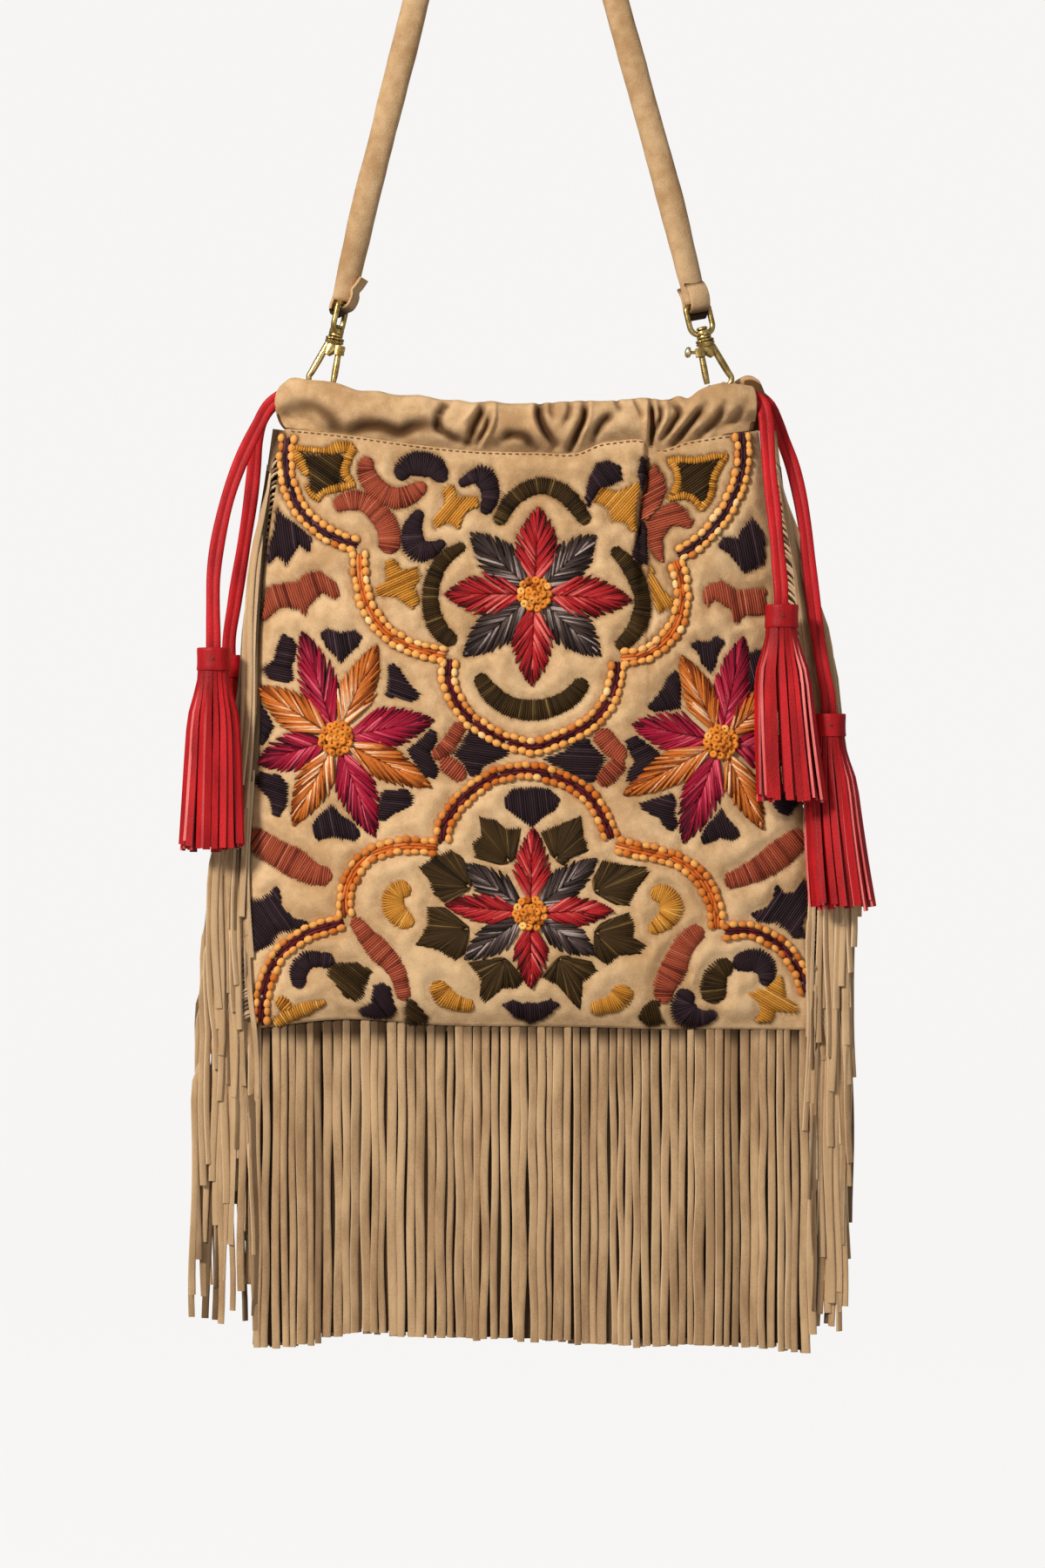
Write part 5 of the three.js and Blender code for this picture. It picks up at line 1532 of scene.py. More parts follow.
@dataclass
class Casing:
    """The gathered tunnel along one side of the mouth."""

    name: str
    side: Side
    right: float
    creases: tuple[Crease, ...]
    top: Profile
    left: float = -0.1368
    columns: int = 300
    puff: Profile = Profile(
        (-0.136, -0.131, -0.095, -0.07, 0.065, 0.095, 0.115, 0.13, 0.143),
        (0.004, 0.0046, 0.0065, 0.007, 0.007, 0.0062, 0.0058, 0.0052, 0.0044),
    )
    share: Profile = Profile(
        (0, 0.2, 0.34, 0.5, 0.66, 0.82, 0.92, 0.975, 1), (0.2, 0.24, 0.7, 1, 1.04, 0.88, 0.64, 0.38, 0.0)
    )
    full_puff: float = 7 * MM
    overlap: float = 8 * MM
    end_lift: float = 8.4 * MM
    widest: float = 0.56
    left_round: float = 11 * MM
    left_reach: float = 9 * MM
    right_round: float = 4 * MM
    right_reach: float = 6 * MM
    tail_inset: float = 4.2 * MM
    tail_least: float = 2 * MM
    mouth_half: float = 6.4 * MM
    mouth_pinch: float = 5.5 * MM
    mouth_middle: float = 1.5 * MM
    mouth_reach: float = 0.1375
    thinnest: float = 0.05 * MM
    hem_half: float = 1.2 * MM
    crease_gain: float = 1.35
    ridge_limit: float = 3 * MM
    valley_limit: float = 8 * MM
    belly: float = 0.6 * MM
    hollow: float = 1.5 * MM
    sag: float = 0.28
    back_shade: float = 2.5 * MM
    corner_shade: float = 9 * MM
    corner_x: float = 0.133
    rough: float = 0.7 * MM
    rough_size: float = 14 * MM
    fine: float = 0.38 * MM
    fine_size: float = 6 * MM
    rim: float = 1.4 * MM
    throat: float = 3.6 * MM
    left_throat: float = 1.5 * MM
    right_throat: float = -3 * MM
    full_shade: float = 6.5 * MM

    def loop(self, x: Array, inset: float) -> tuple[Array, Array]:
        """Gives the section's loop at places along the casing.

        Args:
            x: Places along X.
            inset: Distance inside the outer face.

        Returns:
            Rings of points, and the depth of painted shade at each point: the crease's dent on the outer face, and a
            set depth on the face inside the mouth, deeper past corner_x.
        """
        v = np.concatenate([np.linspace(0, 0.9, 30), [0.93, 0.955, 0.975, 0.99, 1.0]])
        wall_left, wall_right = WALL.left(1.0), WALL.right(1.0)
        u = np.clip(2 * (x - wall_left) / (wall_right - wall_left) - 1, -1, 1)
        across = np.abs(2 * (x - self.left) / (self.right - self.left) - 1)
        low = WALL.top(u) - self.overlap + self.end_lift * ease(across, 0.8, 0.865)
        z = low[:, None] + (self.top(x) - inset - low)[:, None] * v
        off = np.where(v > self.widest, (v - self.widest) / 0.5, (self.widest - v) / 0.68)
        round_off = 1 - np.sqrt(1 - np.minimum(off, 0.98) ** 2)
        from_left = np.exp(-(x - self.left) / self.left_reach)[:, None]
        from_right = np.exp(-(self.right - x) / self.right_reach)[:, None]
        curl = self.left_round * from_left - self.right_round * from_right
        loop_x = x[:, None] + round_off * curl
        tail = np.maximum(WALL.depth(u, np.ones_like(u), Side.BACK) - self.tail_inset, self.tail_least)
        to_corner = np.minimum(np.abs((x - self.mouth_middle) / self.mouth_reach), 1)
        mouth = self.mouth_half - self.mouth_pinch * to_corner**6
        puff = self.puff(x)[:, None] * (1 - 0.35 * from_left)
        middle = tail[:, None] + (mouth[:, None] + puff - tail[:, None]) * ease(v, 0.2, 0.46)
        half = np.maximum(puff * self.share(v) - inset, self.thinnest)
        half = np.where(v < 0.16, np.minimum(half, self.hem_half), half)
        places = on_chart(loop_x, z)
        dent = self.crease_gain * sum(crease.dent(places) for crease in self.creases)
        dent = np.clip(dent, -self.ridge_limit, self.valley_limit) * ease(v, 0.1, 0.26)
        dent = dent * np.minimum(puff / self.full_puff, 1)
        front = np.maximum(middle + half + self.belly * ease(v, 0.3, 0.5) - dent, middle - half + self.hollow)
        z = z - self.sag * np.maximum(dent, 0) * ease(v, 0.75, 1)
        # Painted shade on the face inside the mouth, deeper past corner_x.
        shade = np.where(x > self.corner_x, self.corner_shade, self.back_shade)[:, None]
        halves = ((loop_x, loop_x), (front, middle - half), (z, z), (dent, shade * ease(1 - v, 0.05, 0.14)))
        loop_x, depth, z, shade_depth = (np.concatenate([out, back[:, -2::-1]], axis=1) for out, back in halves)
        return np.stack([loop_x, self.side.value * depth, z], axis=-1), shade_depth

    def build(self) -> None:
        """Makes the tunnel with an open hole at each end."""
        x = np.linspace(self.left, self.right, self.columns)
        outer, shade_depth = self.loop(x, 0)
        rough = self.rough * ripple(outer, self.rough_size, 5.3) + self.fine * ripple(outer, self.fine_size, 1.9)
        outer = outer + np.stack([np.zeros_like(rough), self.side.value * rough, rough * 0.6], axis=-1)
        ends = []
        for place, inward in ((x[:1], self.left_throat), (x[-1:], self.right_throat)):
            throat = self.loop(place, self.throat)[0] + np.array([inward, 0, 0])
            ends.append(np.concatenate([throat, self.loop(place, self.rim)[0]]))
        rings = np.concatenate([ends[0], outer, ends[1][::-1]])
        rings = np.concatenate([rings, rings[:, -1:]], axis=1)
        # Painted shade: both end holes are painted dark, the leather darkens with the depth of its creases, and
        # ridges are painted a little lighter.
        dark = np.full((2, shade_depth.shape[1]), -1.0)
        tone = np.concatenate([dark, np.clip(-0.15 - shade_depth / self.full_shade, -1.15, 0.25), dark])
        tone = np.concatenate([tone, tone[:, -1:]], axis=1)
        draft = Draft()
        draft.tubes(rings, tone[None])
        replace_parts(draft.piece(self.name, [SUEDE], "suede"), self.name.removesuffix("_leather"))


FLAT = ((-0.5, -0.5), (0, -0.5), (0.5, -0.5), (0.5, 0.5), (0, 0.5), (-0.5, 0.5))
FLAT_EDGES = (0, 0, 1, 0, 0, 1)
CUSHION = (
    (-0.5, 0.05), (-0.43, -0.34), (-0.27, -0.47), (0, -0.5), (0.27, -0.47), (0.43, -0.34), (0.5, 0.05),
    (0.42, 0.4), (0, 0.5), (-0.42, 0.4),
)
CUSHION_EDGES = (1, 0, 0, 0, 0, 1, 1, 0, 0, 1)


def strips(
    lines: Array,
    widths: Array,
    thick: float,
    facing: Array,
    section: Sequence[tuple[float, float]],
) -> Array:
    """Gives the rings of cut strips.

    Args:
        lines: Middle line of each strip.
        widths: Width of each strip, or of each of its points.
        thick: Thickness of the leather.
        facing: Direction that the strips' backs look in.
        section: Outline of a strip one unit wide and thick.

    Returns:
        Rings of points.
    """
    widths = np.broadcast_to(widths[:, None] if widths.ndim == 1 else widths, lines.shape[:-1])
    sections = np.empty(lines.shape[:-1] + (len(section), 2))
    sections[..., 0] = np.array(section)[:, 0] * widths[..., None]
    sections[..., 1] = np.array(section)[:, 1] * thick
    return sweep(lines, sections, facing)


@dataclass(frozen=True)
class FringeLayer:
    """One layer of strips: its depth, painted shade, shortening, sway and, where all are alike, their fullness."""

    y: float
    dark: float
    lift: float = 0.0
    sway: float = 2.2 * MM
    fullness: float | None = None


@dataclass
class BottomFringe:
    """Cut strips below the bottom seam, in three layers."""

    strands: int = 62
    ends: Profile = Profile(
        (-0.149, -0.139, -0.119, -0.095, -0.06, -0.018, 0.062, 0.106, 0.15, 0.171),
        (-0.9535, -0.9545, -0.9515, -0.946, -0.947, -0.9485, -0.9525, -0.9525, -0.9545, -0.957),
    )
    layers: tuple[FringeLayer, ...] = (
        FringeLayer(-1.4 * MM, 0.0),
        # The middle layer is painted dark as the shade in the gaps between the front strips.
        FringeLayer(1.6 * MM, 1.1, 2 * MM, 1 * MM, 1.3),
        FringeLayer(4.4 * MM, 0.1),
    )
    root: float = -0.764
    left: float = -0.149
    span: float = 0.3185
    limits: tuple[float, float] = (-0.1475, 0.1695)
    thick: float = 2.3 * MM
    header_span: tuple[float, float] = (-0.142, 0.164)
    header_z: float = -0.7655

    def build(self) -> None:
        """Makes the strips and the header that they hang from."""
        rng = np.random.default_rng(11)
        draft = Draft()
        for layer in self.layers:
            self.hang(layer, rng, draft)
        # The header is painted dark as the shade behind the strips.
        header = np.stack([np.linspace(*self.header_span, 40), np.zeros(40), np.full(40, self.header_z)], axis=1)
        draft.tubes(sweep(header, oval(6, 8 * MM, 0.7 * MM), TOWARDS_BACK), -0.8)
        piece = draft.piece("bottom_fringe_strips", [FRINGE_SUEDE, FRINGE_EDGE], "fringe_suede", sharp=50)
        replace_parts(piece, "bottom_fringe")

    def hang(self, layer: FringeLayer, rng: np.random.Generator, draft: Draft) -> None:
        """Adds the strips of one layer.

        Args:
            layer: The layer.
            rng: Source of their small differences.
            draft: Mesh that takes them.
        """
        share = np.linspace(0, 1, 22)
        widths = rng.uniform(0.78, 1.22, self.strands)
        widths *= self.span / widths.sum()
        x = self.left + np.cumsum(widths) - widths / 2 + rng.normal(0, 0.2 * MM, self.strands)
        end = self.ends(x) + rng.normal(0, 0.8 * MM, self.strands) + layer.lift
        draw = rng.uniform(0, 1, (7, self.strands, 1))
        sway = (draw[0] - 0.5) * layer.sway * share**1.5
        swing = np.sin(share * (6 + 12 * draw[2]) + 6 * draw[3])
        wave = (0.3 + 0.4 * draw[1]) * MM * swing * ease(share, 0, 0.3)
        line = np.stack([
            np.clip(x[:, None] + sway + wave, *self.limits),
            (draw[4] - 0.5) * 2.2 * MM * ease(share, 0, 0.3) + layer.y * ease(share, 0, 0.06),
            self.root + (end - self.root)[:, None] * share,
        ], axis=-1)
        twist = (draw[5] - 0.5) * 0.5 * share + (draw[6] - 0.5) * 0.4
        facing = np.stack([np.sin(twist), np.cos(twist), np.zeros_like(twist)], axis=-1)
        width = widths * (layer.fullness or rng.uniform(0.8, 0.99, self.strands))
        # Painted shade: each layer darkens by its painted shade, and every strip is painted darker at the top as the
        # panel's cast shadow; the rest differs at random.
        shade = rng.normal(0.05, 0.24, (self.strands, 1)) - layer.dark
        tone = np.clip(shade, -1, 0.8) - 0.8 * (1 - ease(share, 0.03, 0.11))
        draft.tubes(strips(line, width, self.thick, facing, CUSHION), tone, CUSHION_EDGES, 1)


@dataclass
class SideFringe:
    """Cut strips that leave one side seam edge-on, arch outward and hang beside it; lengths in millimetres."""

    name: str
    out: int
    near: Profile
    far: Profile
    hem: float
    strands: int = 104
    lowest: float = 0.02
    rise: float = 0.94
    length: float = 186
    length_spread: float = 10
    golden: float = 0.618
    arch_least: float = 6
    arch_most: float = 13
    root: float = 1.5
    settled: tuple[float, float] = (13, 75)
    turned: tuple[float, float] = (14, 48)
    width: float = 3.4
    width_spread: float = 1.2
    thick: float = 1.7
    clearance: float = 2.4
    header_y: float = 3.2

    def build(self) -> None:
        """Makes the strips and the header that they are cut from."""
        rng = np.random.default_rng(20 + self.out)
        seam = WALL.left if self.out < 0 else WALL.right
        low, high = WALL.bottom(self.out), WALL.top(self.out)
        draw = rng.uniform(0, 1, (7, self.strands, 1))
        start = self.lowest + self.rise * np.linspace(1, 0, self.strands)[:, None] ** 1.2
        start = start + 0.005 * (draw[2] - 0.5)
        share = np.concatenate([np.linspace(0, 0.12, 11)[:-1], np.linspace(0.12, 1, 16)])
        along = (self.length + self.length_spread * (draw[0] - 0.5)) * share
        near, far = self.near(start), self.far(start)
        spread = np.mod(self.golden * np.arange(self.strands)[:, None] + 0.14 * draw[1], 1)
        lane = near + (far - near) * spread + 3 * share * (draw[3] + spread - 1)
        arch = np.clip(0.55 * far, self.arch_least, self.arch_most)
        quarter = np.minimum(along / arch, np.pi / 2)
        out = arch * np.sin(quarter) - self.root
        out = out + (lane - out) * ease(along, *self.settled) + 1.2 * np.sin(along / 21 + 6 * draw[2]) * share
        drop = np.maximum(along - arch * np.pi / 2, 0) + arch * (1 - np.cos(quarter))
        z = low + (high - low) * start - drop * MM
        height = np.clip((z - low) / (high - low), 0, 1)
        x = seam(height) + self.out * out * MM
        left, right = WALL.left(height), WALL.right(height)
        across = np.clip(2 * (x - left) / (right - left) - 1, -1, 1)
        clear = WALL.depth(across, height, Side.BACK) * ease(z, low - 0.02, low) + self.clearance * MM
        y = (9 * (0.4 - start) + 7 * (draw[4] - 0.5)) * MM * ease(along, 8, 45)
        y = np.where((out < 1.5) & (along > 20), np.minimum(y, -clear), y)
        line = np.stack([x, y, z], axis=-1)
        turn = (1 - ease(along, *self.turned)) * np.pi / 2 + (draw[5] - 0.5) * 1.6 * ease(share, 0.1, 0.4)
        tangent = unit(np.gradient(line, axis=1))
        edge_on = np.stack([-tangent[..., 2], np.zeros_like(x), tangent[..., 0]], axis=-1)
        facing = edge_on * np.sin(turn)[..., None] + np.array(TOWARDS_BACK) * np.cos(turn)[..., None]
        width = np.broadcast_to((self.width + self.width_spread * draw[6]) * MM, along.shape)
        # Lighter or darker at random, and painted lighter the further forward a strip hangs and darker the further
        # back, as light and shade.
        shade = np.clip(0.35 - 1.6 * (draw[4] - 0.5) + rng.normal(0, 0.7, (self.strands, 1)), -0.65, 1.2)
        draft = Draft()
        rings = strips(line, width, self.thick * MM, facing, CUSHION)
        draft.tubes(rings, np.broadcast_to(shade, along.shape), [2 * edge for edge in CUSHION_EDGES], 2)
        # The headers behind the strips are painted dark as shade: the lower one in shaded suede, the top one with a
        # darker tone.
        for v, section, tone, slot in (
            (np.linspace(0.02, 0.94, 30), oval(6, 5.6 * MM, 0.6 * MM), 0.0, 1),
            (np.linspace(0.93, 1.0, 8), oval(6, 5.2 * MM, 0.7 * MM), -0.45, 0),
        ):
            behind = np.full_like(v, self.header_y * MM)
            header = np.stack([seam(v) + self.out * self.hem, behind, low + (high - low) * v], axis=1)
            draft.tubes(sweep(header, section, TOWARDS_BACK), tone, (slot,), slot)
        finishes = [FRINGE_SUEDE, SHADED_SUEDE, FRINGE_EDGE]
        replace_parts(draft.piece(f"{self.name}_strips", finishes, "fringe_suede", sharp=50), self.name)


LEFT_NEAR = Profile((0, 0.5, 1), (0, 2, 3))
LEFT_FAR = Profile((0, 0.3, 0.65, 0.95), (38, 29, 15, 7))
RIGHT_NEAR = Profile((0, 0.5, 0.75, 0.95), (-1, 0, 12, 11))
RIGHT_FAR = Profile((0, 0.3, 0.65, 0.86, 0.95), (17, 22, 25, 26, 19))
CAP_PROFILE = (
    (7.6, -2.2), (8.3, -0.6), (8.9, 0), (9.3, -0.35), (9.35, -2), (9.2, -6), (9.25, -10), (9.5, -12.2),
    (9.3, -12.9), (8.6, -13.0), (7.6, -12),
)
RIVET_PROFILE = ((0.05, 0.5), (0.7, 0.4), (0.8, 0.0), (0.05, -0.2))


@dataclass
class Tassel:
    """A red leather tassel: a wrapped cap over a skirt of cut strips; lengths of the skirt in millimetres."""

    name: str
    top: Triple
    foot: tuple[float, float]
    half_width: float
    seed: int
    lap: float = 0.055
    lap_at: float = 1.25
    rivet: Triple = (0.3, -9.6, -6.4)
    rings: tuple[tuple[int, float], ...] = ((21, 0.0), (16, 2.4))
    neck: float = 7.8
    hidden: float = 9
    uneven: float = 3.5
    flare_y: float = 2.2
    strip: float = 2.2
    thick: float = 1.5

    def build(self) -> list[bpy.types.Object]:
        """Makes the cap and the skirt."""
        return [self.cap(), self.skirt()]

    def cap(self) -> bpy.types.Object:
        """Makes the wrapped band with its overlapped end and rivet hole.

        Returns:
            The piece.
        """
        top = np.asarray(self.top)
        rings = lathe(CAP_PROFILE, 40)
        turn = np.mod(np.arctan2(rings[..., 1], rings[..., 0]) + self.lap_at, 2 * np.pi)
        rings[..., :2] *= (1 + self.lap * ease(turn, 0, 0.06) * (1 - ease(turn, 0.1, 5.5)))[..., None]
        # Painted shade: the rims inside the cap are painted dark.
        tone = np.zeros(len(CAP_PROFILE))
        tone[[0, -1]] = -1
        draft = Draft()
        draft.tubes(rings * MM + top, tone[None])
        rivet = lathe(RIVET_PROFILE, 10)[..., [0, 2, 1]] * np.array([1, -1, 1])
        draft.tubes((rivet + np.array(self.rivet)) * MM + top, -1.0, (1,), 1)
        finishes = [RED_LEATHER, SEAM_THREAD]
        piece = draft.piece(f"tassel_cap_{self.name}_leather", finishes, "red_leather", sharp=50)
        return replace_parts(piece, f"tassel_cap_{self.name}")

    def skirt(self) -> bpy.types.Object:
        """Makes two rings of cut strips with pale edges.

        Returns:
            The piece.
        """
        rng = np.random.default_rng(self.seed)
        draft = Draft()
        share = np.linspace(0, 1, 12)
        flare = ease(share, 0.06, 0.34) * 0.5 + 0.5 * share
        drop, shift = (self.top[2] - self.foot[1]) / MM, (self.foot[0] - self.top[0]) / MM
        for count, inside in self.rings:
            draw = rng.uniform(-1, 1, (6, count, 1))
            turn = 2 * np.pi * (np.arange(count)[:, None] + 0.5 + 0.22 * draw[0]) / count
            length = drop - self.uneven + self.uneven * draw[1]
            neck = self.neck - inside * 0.6
            half_x = neck + (self.half_width / MM - 8.4 - inside) * flare
            half_y = neck + (self.flare_y - 0.6 * inside) * flare + 1.1 * draw[2] * share
            lean = shift * share**1.6 + 1.5 * draw[3] * share**2
            line = np.stack([
                np.cos(turn) * half_x + lean,
                np.sin(turn) * half_y,
                -self.hidden - (length - self.hidden) * share,
            ], axis=-1) * MM + np.asarray(self.top)
            look = turn + 0.65 * draw[4] * ease(share, 0.05, 0.3)
            facing = np.stack([np.cos(look), 1.5 * np.sin(look), np.zeros_like(look)], axis=-1)
            width = (self.strip + (1.75 + 0.45 * draw[5]) * ease(share, 0.02, 0.6)) * MM
            # Painted shade: darker near the cap and on the inner ring of strips; besides that the tone differs at
            # random.
            tone = 0.45 * draw[2] - 0.5 * (1 - ease(share, 0.03, 0.16)) - 0.5 * inside
            draft.tubes(strips(line, width, self.thick * MM, facing, FLAT), tone, FLAT_EDGES, 1)
        finishes = [RED_LEATHER, CUT_EDGE]
        piece = draft.piece(f"tassel_skirt_{self.name}_leather", finishes, "red_leather", sharp=40)
        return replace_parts(piece, f"tassel_skirt_{self.name}")


LACE_SECTION = (
    (-3.2, -1.2), (-2.4, -1.4), (-0.55, -1.3), (0, -1.0), (0.55, -1.3), (2.4, -1.4), (3.2, -1.2), (3.75, -0.45),
    (3.75, 0.45), (3.2, 1.2), (2.4, 1.35), (0.55, 1.3), (0, 1.2), (-0.55, 1.3), (-2.4, 1.35), (-3.2, 1.2),
    (-3.75, 0.45), (-3.75, -0.45),
)
LACE_GROOVES = (3, 12)


@dataclass
class Lace:
    """A flat folded lace end that hangs from the casing to its tassel."""

    name: str
    route: tuple[Triple, ...]
    width: float = 7.5 * MM
    widening: float = 1.12
    pinch: float = 0.08

    def build(self, tassel: list[bpy.types.Object]) -> None:
        """Args:
            tassel: Not used.
        """
        path = smooth_line(np.asarray(self.route) * MM, 56)
        share = np.linspace(0, 1, len(path))
        narrow = 1 - self.pinch * np.sin(9 * share + len(self.name)) ** 2
        scale = np.stack([self.widening * narrow, np.ones_like(narrow)], axis=1)
        rings = sweep(path, np.array(LACE_SECTION) * MM * scale[:, None], TOWARDS_BACK)
        # Painted shade: the fold's grooves are painted darker and the faces a little lighter.
        groove_shade = np.where(np.isin(np.arange(len(LACE_SECTION)), LACE_GROOVES), -0.7, 0.15)
        draft = Draft()
        draft.tubes(rings, np.broadcast_to(groove_shade, rings.shape[:2])[None])
        piece = draft.piece(f"lace_{self.name}_leather", [RED_LEATHER], "red_leather", sharp=60)
        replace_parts(piece, f"lace_{self.name}")


LACE_ROUTES = {
    "left_front": (
        (-129, -5.5, -406), (-139.7, -5.5, -413.5), (-146, -7.5, -425), (-153.5, -10, -440.5),
        (-161.5, -12, -461.5), (-167.5, -14, -485.5), (-171, -16, -511), (-171.2, -17.5, -532), (-171, -18, -547),
        (-171, -18, -553.7),
    ),
    "left_back": (
        (-130, 5.5, -407), (-139.7, 5.5, -412.5), (-145.5, 7.5, -420.5), (-148.5, 10.5, -432), (-149.8, 12, -446),
        (-152, 13, -466), (-156, 14.5, -492), (-161.5, 16.5, -525), (-165, 18, -550), (-165, 18, -556.7),
    ),
    "right_front": (
        (136, -5, -408), (142.2, -5.5, -412.5), (143.8, -7.5, -419), (144.6, -11, -431), (145.8, -15, -452),
        (148.5, -20, -480), (150.5, -25, -506), (151.5, -29, -523), (151.5, -29, -529.7),
    ),
    "right_back": (
        (139, 5, -406.5), (146.8, 5.5, -413), (151, 6, -421.5), (155, 4.5, -433), (159.5, 1.5, -446),
        (163.5, -2, -463), (166.5, -5.5, -482), (169, -9, -507), (172, -11.5, -534), (176, -14, -563),
        (179.5, -15.5, -585), (179.5, -15.5, -591.2),
    ),
}
TASSELS = (
    Tassel("left_front", (-0.171, -0.018, -0.553), (-0.1725, -0.6695), 0.0175, 31),
    Tassel("left_back", (-0.165, 0.018, -0.556), (-0.167, -0.664), 0.016, 32),
    Tassel("right_front", (0.1515, -0.029, -0.529), (0.1575, -0.6415), 0.0185, 33),
    Tassel("right_back", (0.1795, -0.0155, -0.5905), (0.188, -0.703), 0.018, 34),
)


@dataclass(frozen=True)
class TabFold:
    """How a strap tab ends, in millimetres deep and up: its front leaf, and the top of its back leg."""

    leaf: Spots
    leaf_shade: float
    back_top: float
    back_half: float


@dataclass(frozen=True)
class ClipPose:
    """Where a swivel clip hangs, in millimetres and degrees, and how the strap meets it."""

    side: str
    x: float
    z: float
    lean: float
    hook_turn: float
    ring_turn: float
    strap_turn: float
    stud: bool
    tab: TabFold

    def put(self, points: Array, turn: float) -> Array:
        """Places points of the clip's own frame, in millimetres, in the bag's frame.

        Args:
            points: Points across, deep and up.
            turn: Turn about the clip's own upright axis, in degrees.

        Returns:
            The points in metres.
        """
        x, y, z = np.moveaxis(points, -1, 0)
        cos, sin = math.cos(math.radians(turn)), math.sin(math.radians(turn))
        x, y = x * cos - y * sin, x * sin + y * cos
        cos, sin = math.cos(math.radians(self.lean)), math.sin(math.radians(self.lean))
        return np.stack([self.x + x * cos + z * sin, y, self.z - x * sin + z * cos], axis=-1) * MM


CLIPS = (
    ClipPose(
        "left", x=-103, z=-376.5, lean=12.5, hook_turn=180, ring_turn=74, strap_turn=24, stud=False,
        tab=TabFold(((-9.4, 38.5), (-7.4, 33.8)), leaf_shade=0.0, back_top=4.2, back_half=3.0),
    ),
    ClipPose(
        "right", x=110, z=-377.5, lean=-13.5, hook_turn=0, ring_turn=26, strap_turn=26, stud=True,
        tab=TabFold(((-1.0, 35.5), (-3.4, 34.2)), leaf_shade=0.8, back_top=6.4, back_half=6.1),
    ),
)
RING_CORNERS = ((2.5, 10.5, 5, -90), (5.3, 19.7, 2.2, 0), (-5.3, 19.7, 2.2, 90), (-2.5, 10.5, 5, 180))
BOSS_PROFILE = (
    (2.2, 2.7), (3.9, 2.7), (4.2, 3), (4.2, 4), (3.9, 4.3), (4.2, 4.6), (4.2, 6.8), (3.8, 7.3), (2.2, 7.3),
)
BOSS_TONE = (-1, 0, 0, 0, -0.9, 0, 0, 0, -1)
BARREL_PROFILE = (
    (0.05, 9.4), (2.7, 9.4), (3.2, 8.9), (3.2, 7.9), (1.8, 7.6), (1.8, 2.3), (4.6, 2.3), (5.2, 1.9), (5.2, 1.0),
    (4.6, 0.6), (5.2, 0.2), (5.2, -0.6), (4.3, -1.4), (4.2, -1.9), (0.05, -1.9),
)
BARREL_RIBBED = slice(7, 12)
BARREL_TONE = (0, 0, 0, 0, -1, -1, 0, 0, 0, -1, 0, 0, 0, 0, -1)
HOOK_LINE = (
    (3.3, 0, -1.8), (5.1, 0, -7.6), (7.2, 0, -14.3), (9.1, 0, -20.2), (9.9, 0, -22.4), (9.2, 0, -25),
    (4.4, 0, -26.8), (-1, 0, -26.9), (-3.6, 0, -25.9), (-4.3, 0, -24.3),
)
BRIDGE_LINE = ((0.4, 0, -1.4), (0.6, 0, -3), (1.4, 0, -5), (2.6, 0, -8.2))
EAR_LINE = ((-4.2, 0, -1.9), (-4.2, 0, -3), (-4.2, 0, -5), (-4.4, 0, -7.0))
GATE_LINE = ((-3.7, 0, -5.4), (-4, 0, -12), (-4.4, 0, -22.3), (-4.4, 0, -23))
STEM_LINE = ((-6.2, 0, -4.0), (-8.4, 0, -3.5), (-10.4, 0, -3.0))
KNOB_LINE = ((-9.3, 0, -3.4), (-9.7, 0, -3.3), (-10.9, 0, -2.8), (-12.1, 0, -2.3), (-12.6, 0, -2.1))
KNOB_RADII = (1.5, 2.7, 3.3, 2.7, 1.0)
UPWARD = (0, 0, 1)


